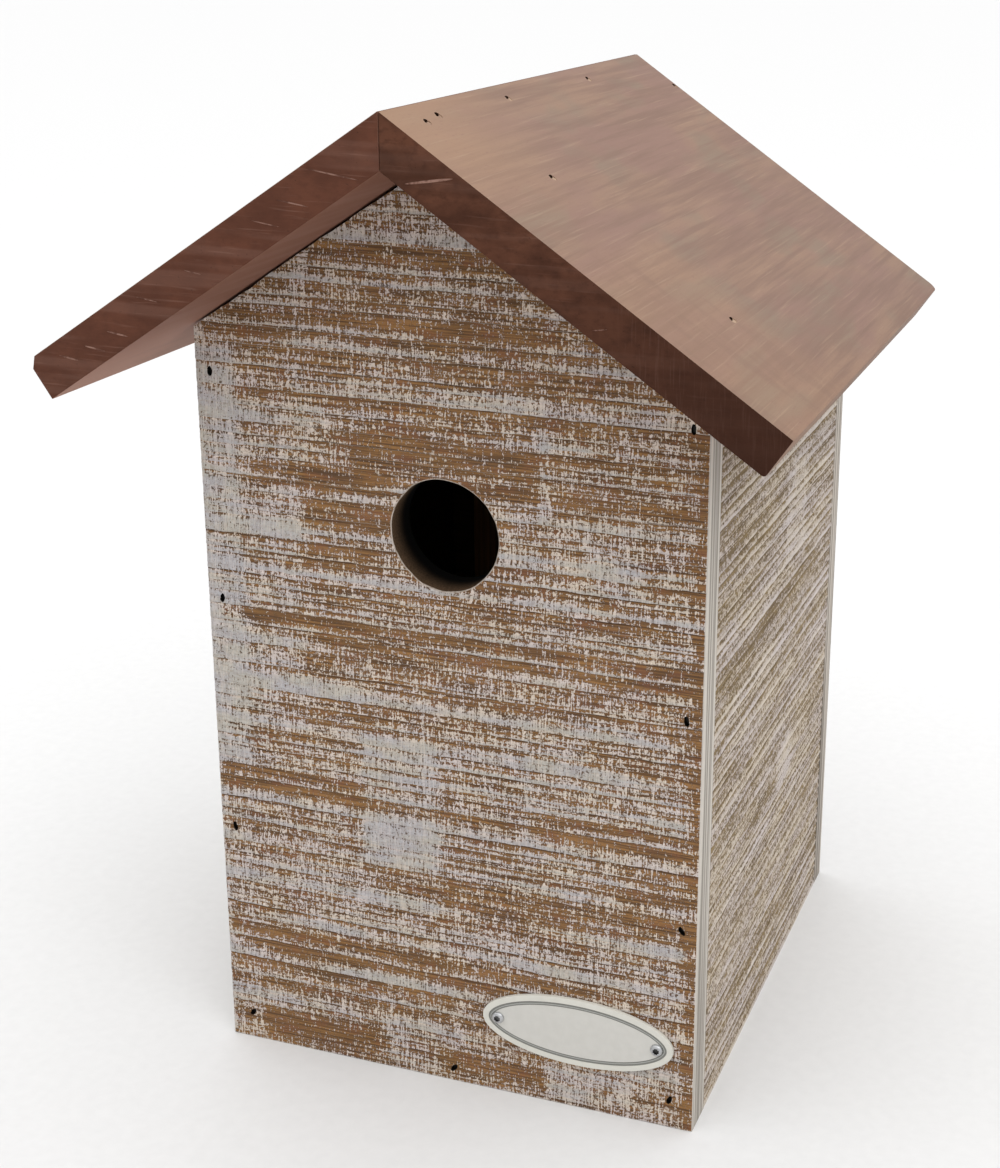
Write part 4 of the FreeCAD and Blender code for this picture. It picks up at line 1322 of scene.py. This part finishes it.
class NESTBOX_OT_screws(bpy.types.Operator):
    """Screws: domed on the oval plate and the turn button, countersunk on the hinges and the hanger"""
    bl_idname = "nestbox.screws"
    bl_label = "Screws"

    def execute(self, context):
        look = context.scene.nestbox_fittings
        sets = (
            ("oval_plate_screws", TO_FRONT, "box", look.plate_screw_head, look.plate_screw, True),
            ("hanger_screws", TO_BACK, "box", look.hanger_screw_head, look.hanger_screw, False),
            ("hinge_frame_screws", TO_BACK, "box", look.hinge_screw_head, look.hinge_screw, False),
            ("hinge_hatch_screws", TO_BACK, "hatch", look.hinge_screw_head, look.hinge_screw, False),
            ("turn_button_screw", TO_BACK, "box", look.button_screw_head, look.button_screw, True),
        )
        for node, way, body, head_height, shank, domed in sets:
            made = []
            for middle, low, high in islands(node):
                ends = sorted((low.y * way.y, high.y * way.y))
                tip = Vector((middle.x, ends[0] * way.y, middle.z))
                head = Vector((middle.x, ends[1] * way.y, middle.z))
                made.append(screw(node, tip, head, (high.x - low.x) / 2, head_height, shank / 2, way, domed))
            place_on(joined(node.rstrip("s") + "_set", made), body, "zinc_steel", node)
        return {"FINISHED"}


class NESTBOX_OT_fittings(bpy.types.Operator):
    """Finishes of the pieces that keep their form"""
    bl_idname = "nestbox.fittings"
    bl_label = "Fittings"

    def execute(self, context):
        look = context.scene.nestbox_fittings
        for row in frame["record"]["subparts"]:
            node = frame["nodes"][row["node"]]
            key = "dark steel" if "brad" in row["node"] else "zinc-plated steel"
            if row["material_slot"] == "zinc_steel":
                for slot in node.material_slots:
                    slot.material = material(key)
            if row["node"] in ("hanger_plate", "turn_button") or row["node"].endswith("_leaf"):
                weld = node.modifiers.new("weld", "WELD")
                weld.merge_threshold = WELD
                bevel = node.modifiers.new("blunted edges", "BEVEL")
                bevel.width = look.blunting
                bevel.segments = 3
                bevel.limit_method = "ANGLE"
                bevel.angle_limit = SHARP
        return {"FINISHED"}


class NESTBOX_OT_stage(bpy.types.Operator):
    """Floor, soft light and camera"""
    bl_idname = "nestbox.stage"
    bl_label = "Stage"

    def execute(self, context):
        stage = context.scene.nestbox_stage
        bpy.ops.object.select_all(action="DESELECT")
        bpy.ops.mesh.primitive_plane_add(size=stage.floor_size, location=(0, 0, 0))
        floor = named("floor")
        paper, tree, where = blank("studio paper")
        fibre = grain(tree, where, (4, 4, 4))
        close(tree, laid(tree, linear("#E6E6E6"), stage.floor, fibre), 0.9, fibre, 0.02)
        floor.data.materials.append(paper)
        world = bpy.data.worlds.new("studio")
        world.use_nodes = True
        tree = world.node_tree
        sky = tree.nodes["Background"]
        sky.inputs["Color"].default_value = linear("#FFFFFF")
        axes = put(tree, "SeparateXYZ", {"Vector": put(tree, "TexCoord").outputs["Generated"]}).outputs
        light = put(tree, "MapRange", {"Value": axes["Z"], "To Min": stage.sky, "To Max": stage.zenith},
                    interpolation_type="SMOOTHSTEP").outputs["Result"]
        seen = put(tree, "LightPath").outputs["Is Camera Ray"]
        strength = put(tree, "MapRange", {"Value": seen, "To Min": light, "To Max": stage.backdrop})
        tree.links.new(strength.outputs["Result"], sky.inputs["Strength"])
        context.scene.world = world
        bpy.ops.object.light_add(type="AREA", location=stage.key_place)
        key = context.active_object
        key.name = "key light"
        key.data.shape = "DISK"
        key.data.size = stage.key_size
        key.data.energy = stage.key
        aim = Vector(stage.key_aim) - key.location
        key.rotation_euler = aim.to_track_quat("-Z", "Y").to_euler()
        turn = (Matrix.Rotation(stage.heading, 3, "Z") @ Matrix.Rotation(math.radians(90) - stage.dip, 3, "X")
                @ Matrix.Rotation(stage.roll, 3, "Z"))
        bpy.ops.object.camera_add(location=stage.camera_place, rotation=turn.to_euler())
        camera = context.active_object
        camera.data.lens = stage.lens
        camera.data.sensor_width = 36
        camera.data.shift_x, camera.data.shift_y = stage.shift
        camera.data.clip_start = 0.01
        context.scene.camera = camera
        context.scene.view_settings.view_transform = "Standard"
        return {"FINISHED"}


class NESTBOX_PT_panel(bpy.types.Panel):
    """Steps that dress the nest box"""
    bl_idname = "NESTBOX_PT_panel"
    bl_label = "Nest box"
    bl_space_type = "VIEW_3D"
    bl_region_type = "UI"
    bl_category = "Nest box"

    def draw(self, context):
        for step in STEPS:
            self.layout.operator(step.bl_idname)
        for key, group in GROUPS.items():
            box = self.layout.box()
            box.label(text=group.__doc__)
            for setting in group.__annotations__:
                box.prop(getattr(context.scene, key), setting)


GROUPS = {
    "nestbox_boards": NESTBOX_PG_boards,
    "nestbox_roof": NESTBOX_PG_roof,
    "nestbox_fittings": NESTBOX_PG_fittings,
    "nestbox_stage": NESTBOX_PG_stage,
}
STEPS = (
    NESTBOX_OT_front_board,
    NESTBOX_OT_side_boards,
    NESTBOX_OT_back_boards,
    NESTBOX_OT_floor_and_battens,
    NESTBOX_OT_roof_boards,
    NESTBOX_OT_oval_plate,
    NESTBOX_OT_screws,
    NESTBOX_OT_fittings,
    NESTBOX_OT_stage,
)


def register():
    for group in GROUPS.values():
        bpy.utils.register_class(group)
    for step in STEPS + (NESTBOX_PT_panel,):
        bpy.utils.register_class(step)
    for key, group in GROUPS.items():
        setattr(bpy.types.Scene, key, PointerProperty(type=group))


def unregister():
    for key in GROUPS:
        delattr(bpy.types.Scene, key)
    for step in STEPS + (NESTBOX_PT_panel,):
        bpy.utils.unregister_class(step)
    for group in GROUPS.values():
        bpy.utils.unregister_class(group)


def main():
    register()
    for step in STEPS:
        group, name = step.bl_idname.split(".")
        getattr(getattr(bpy.ops, group), name)()


if __name__ == "__main__":
    main()
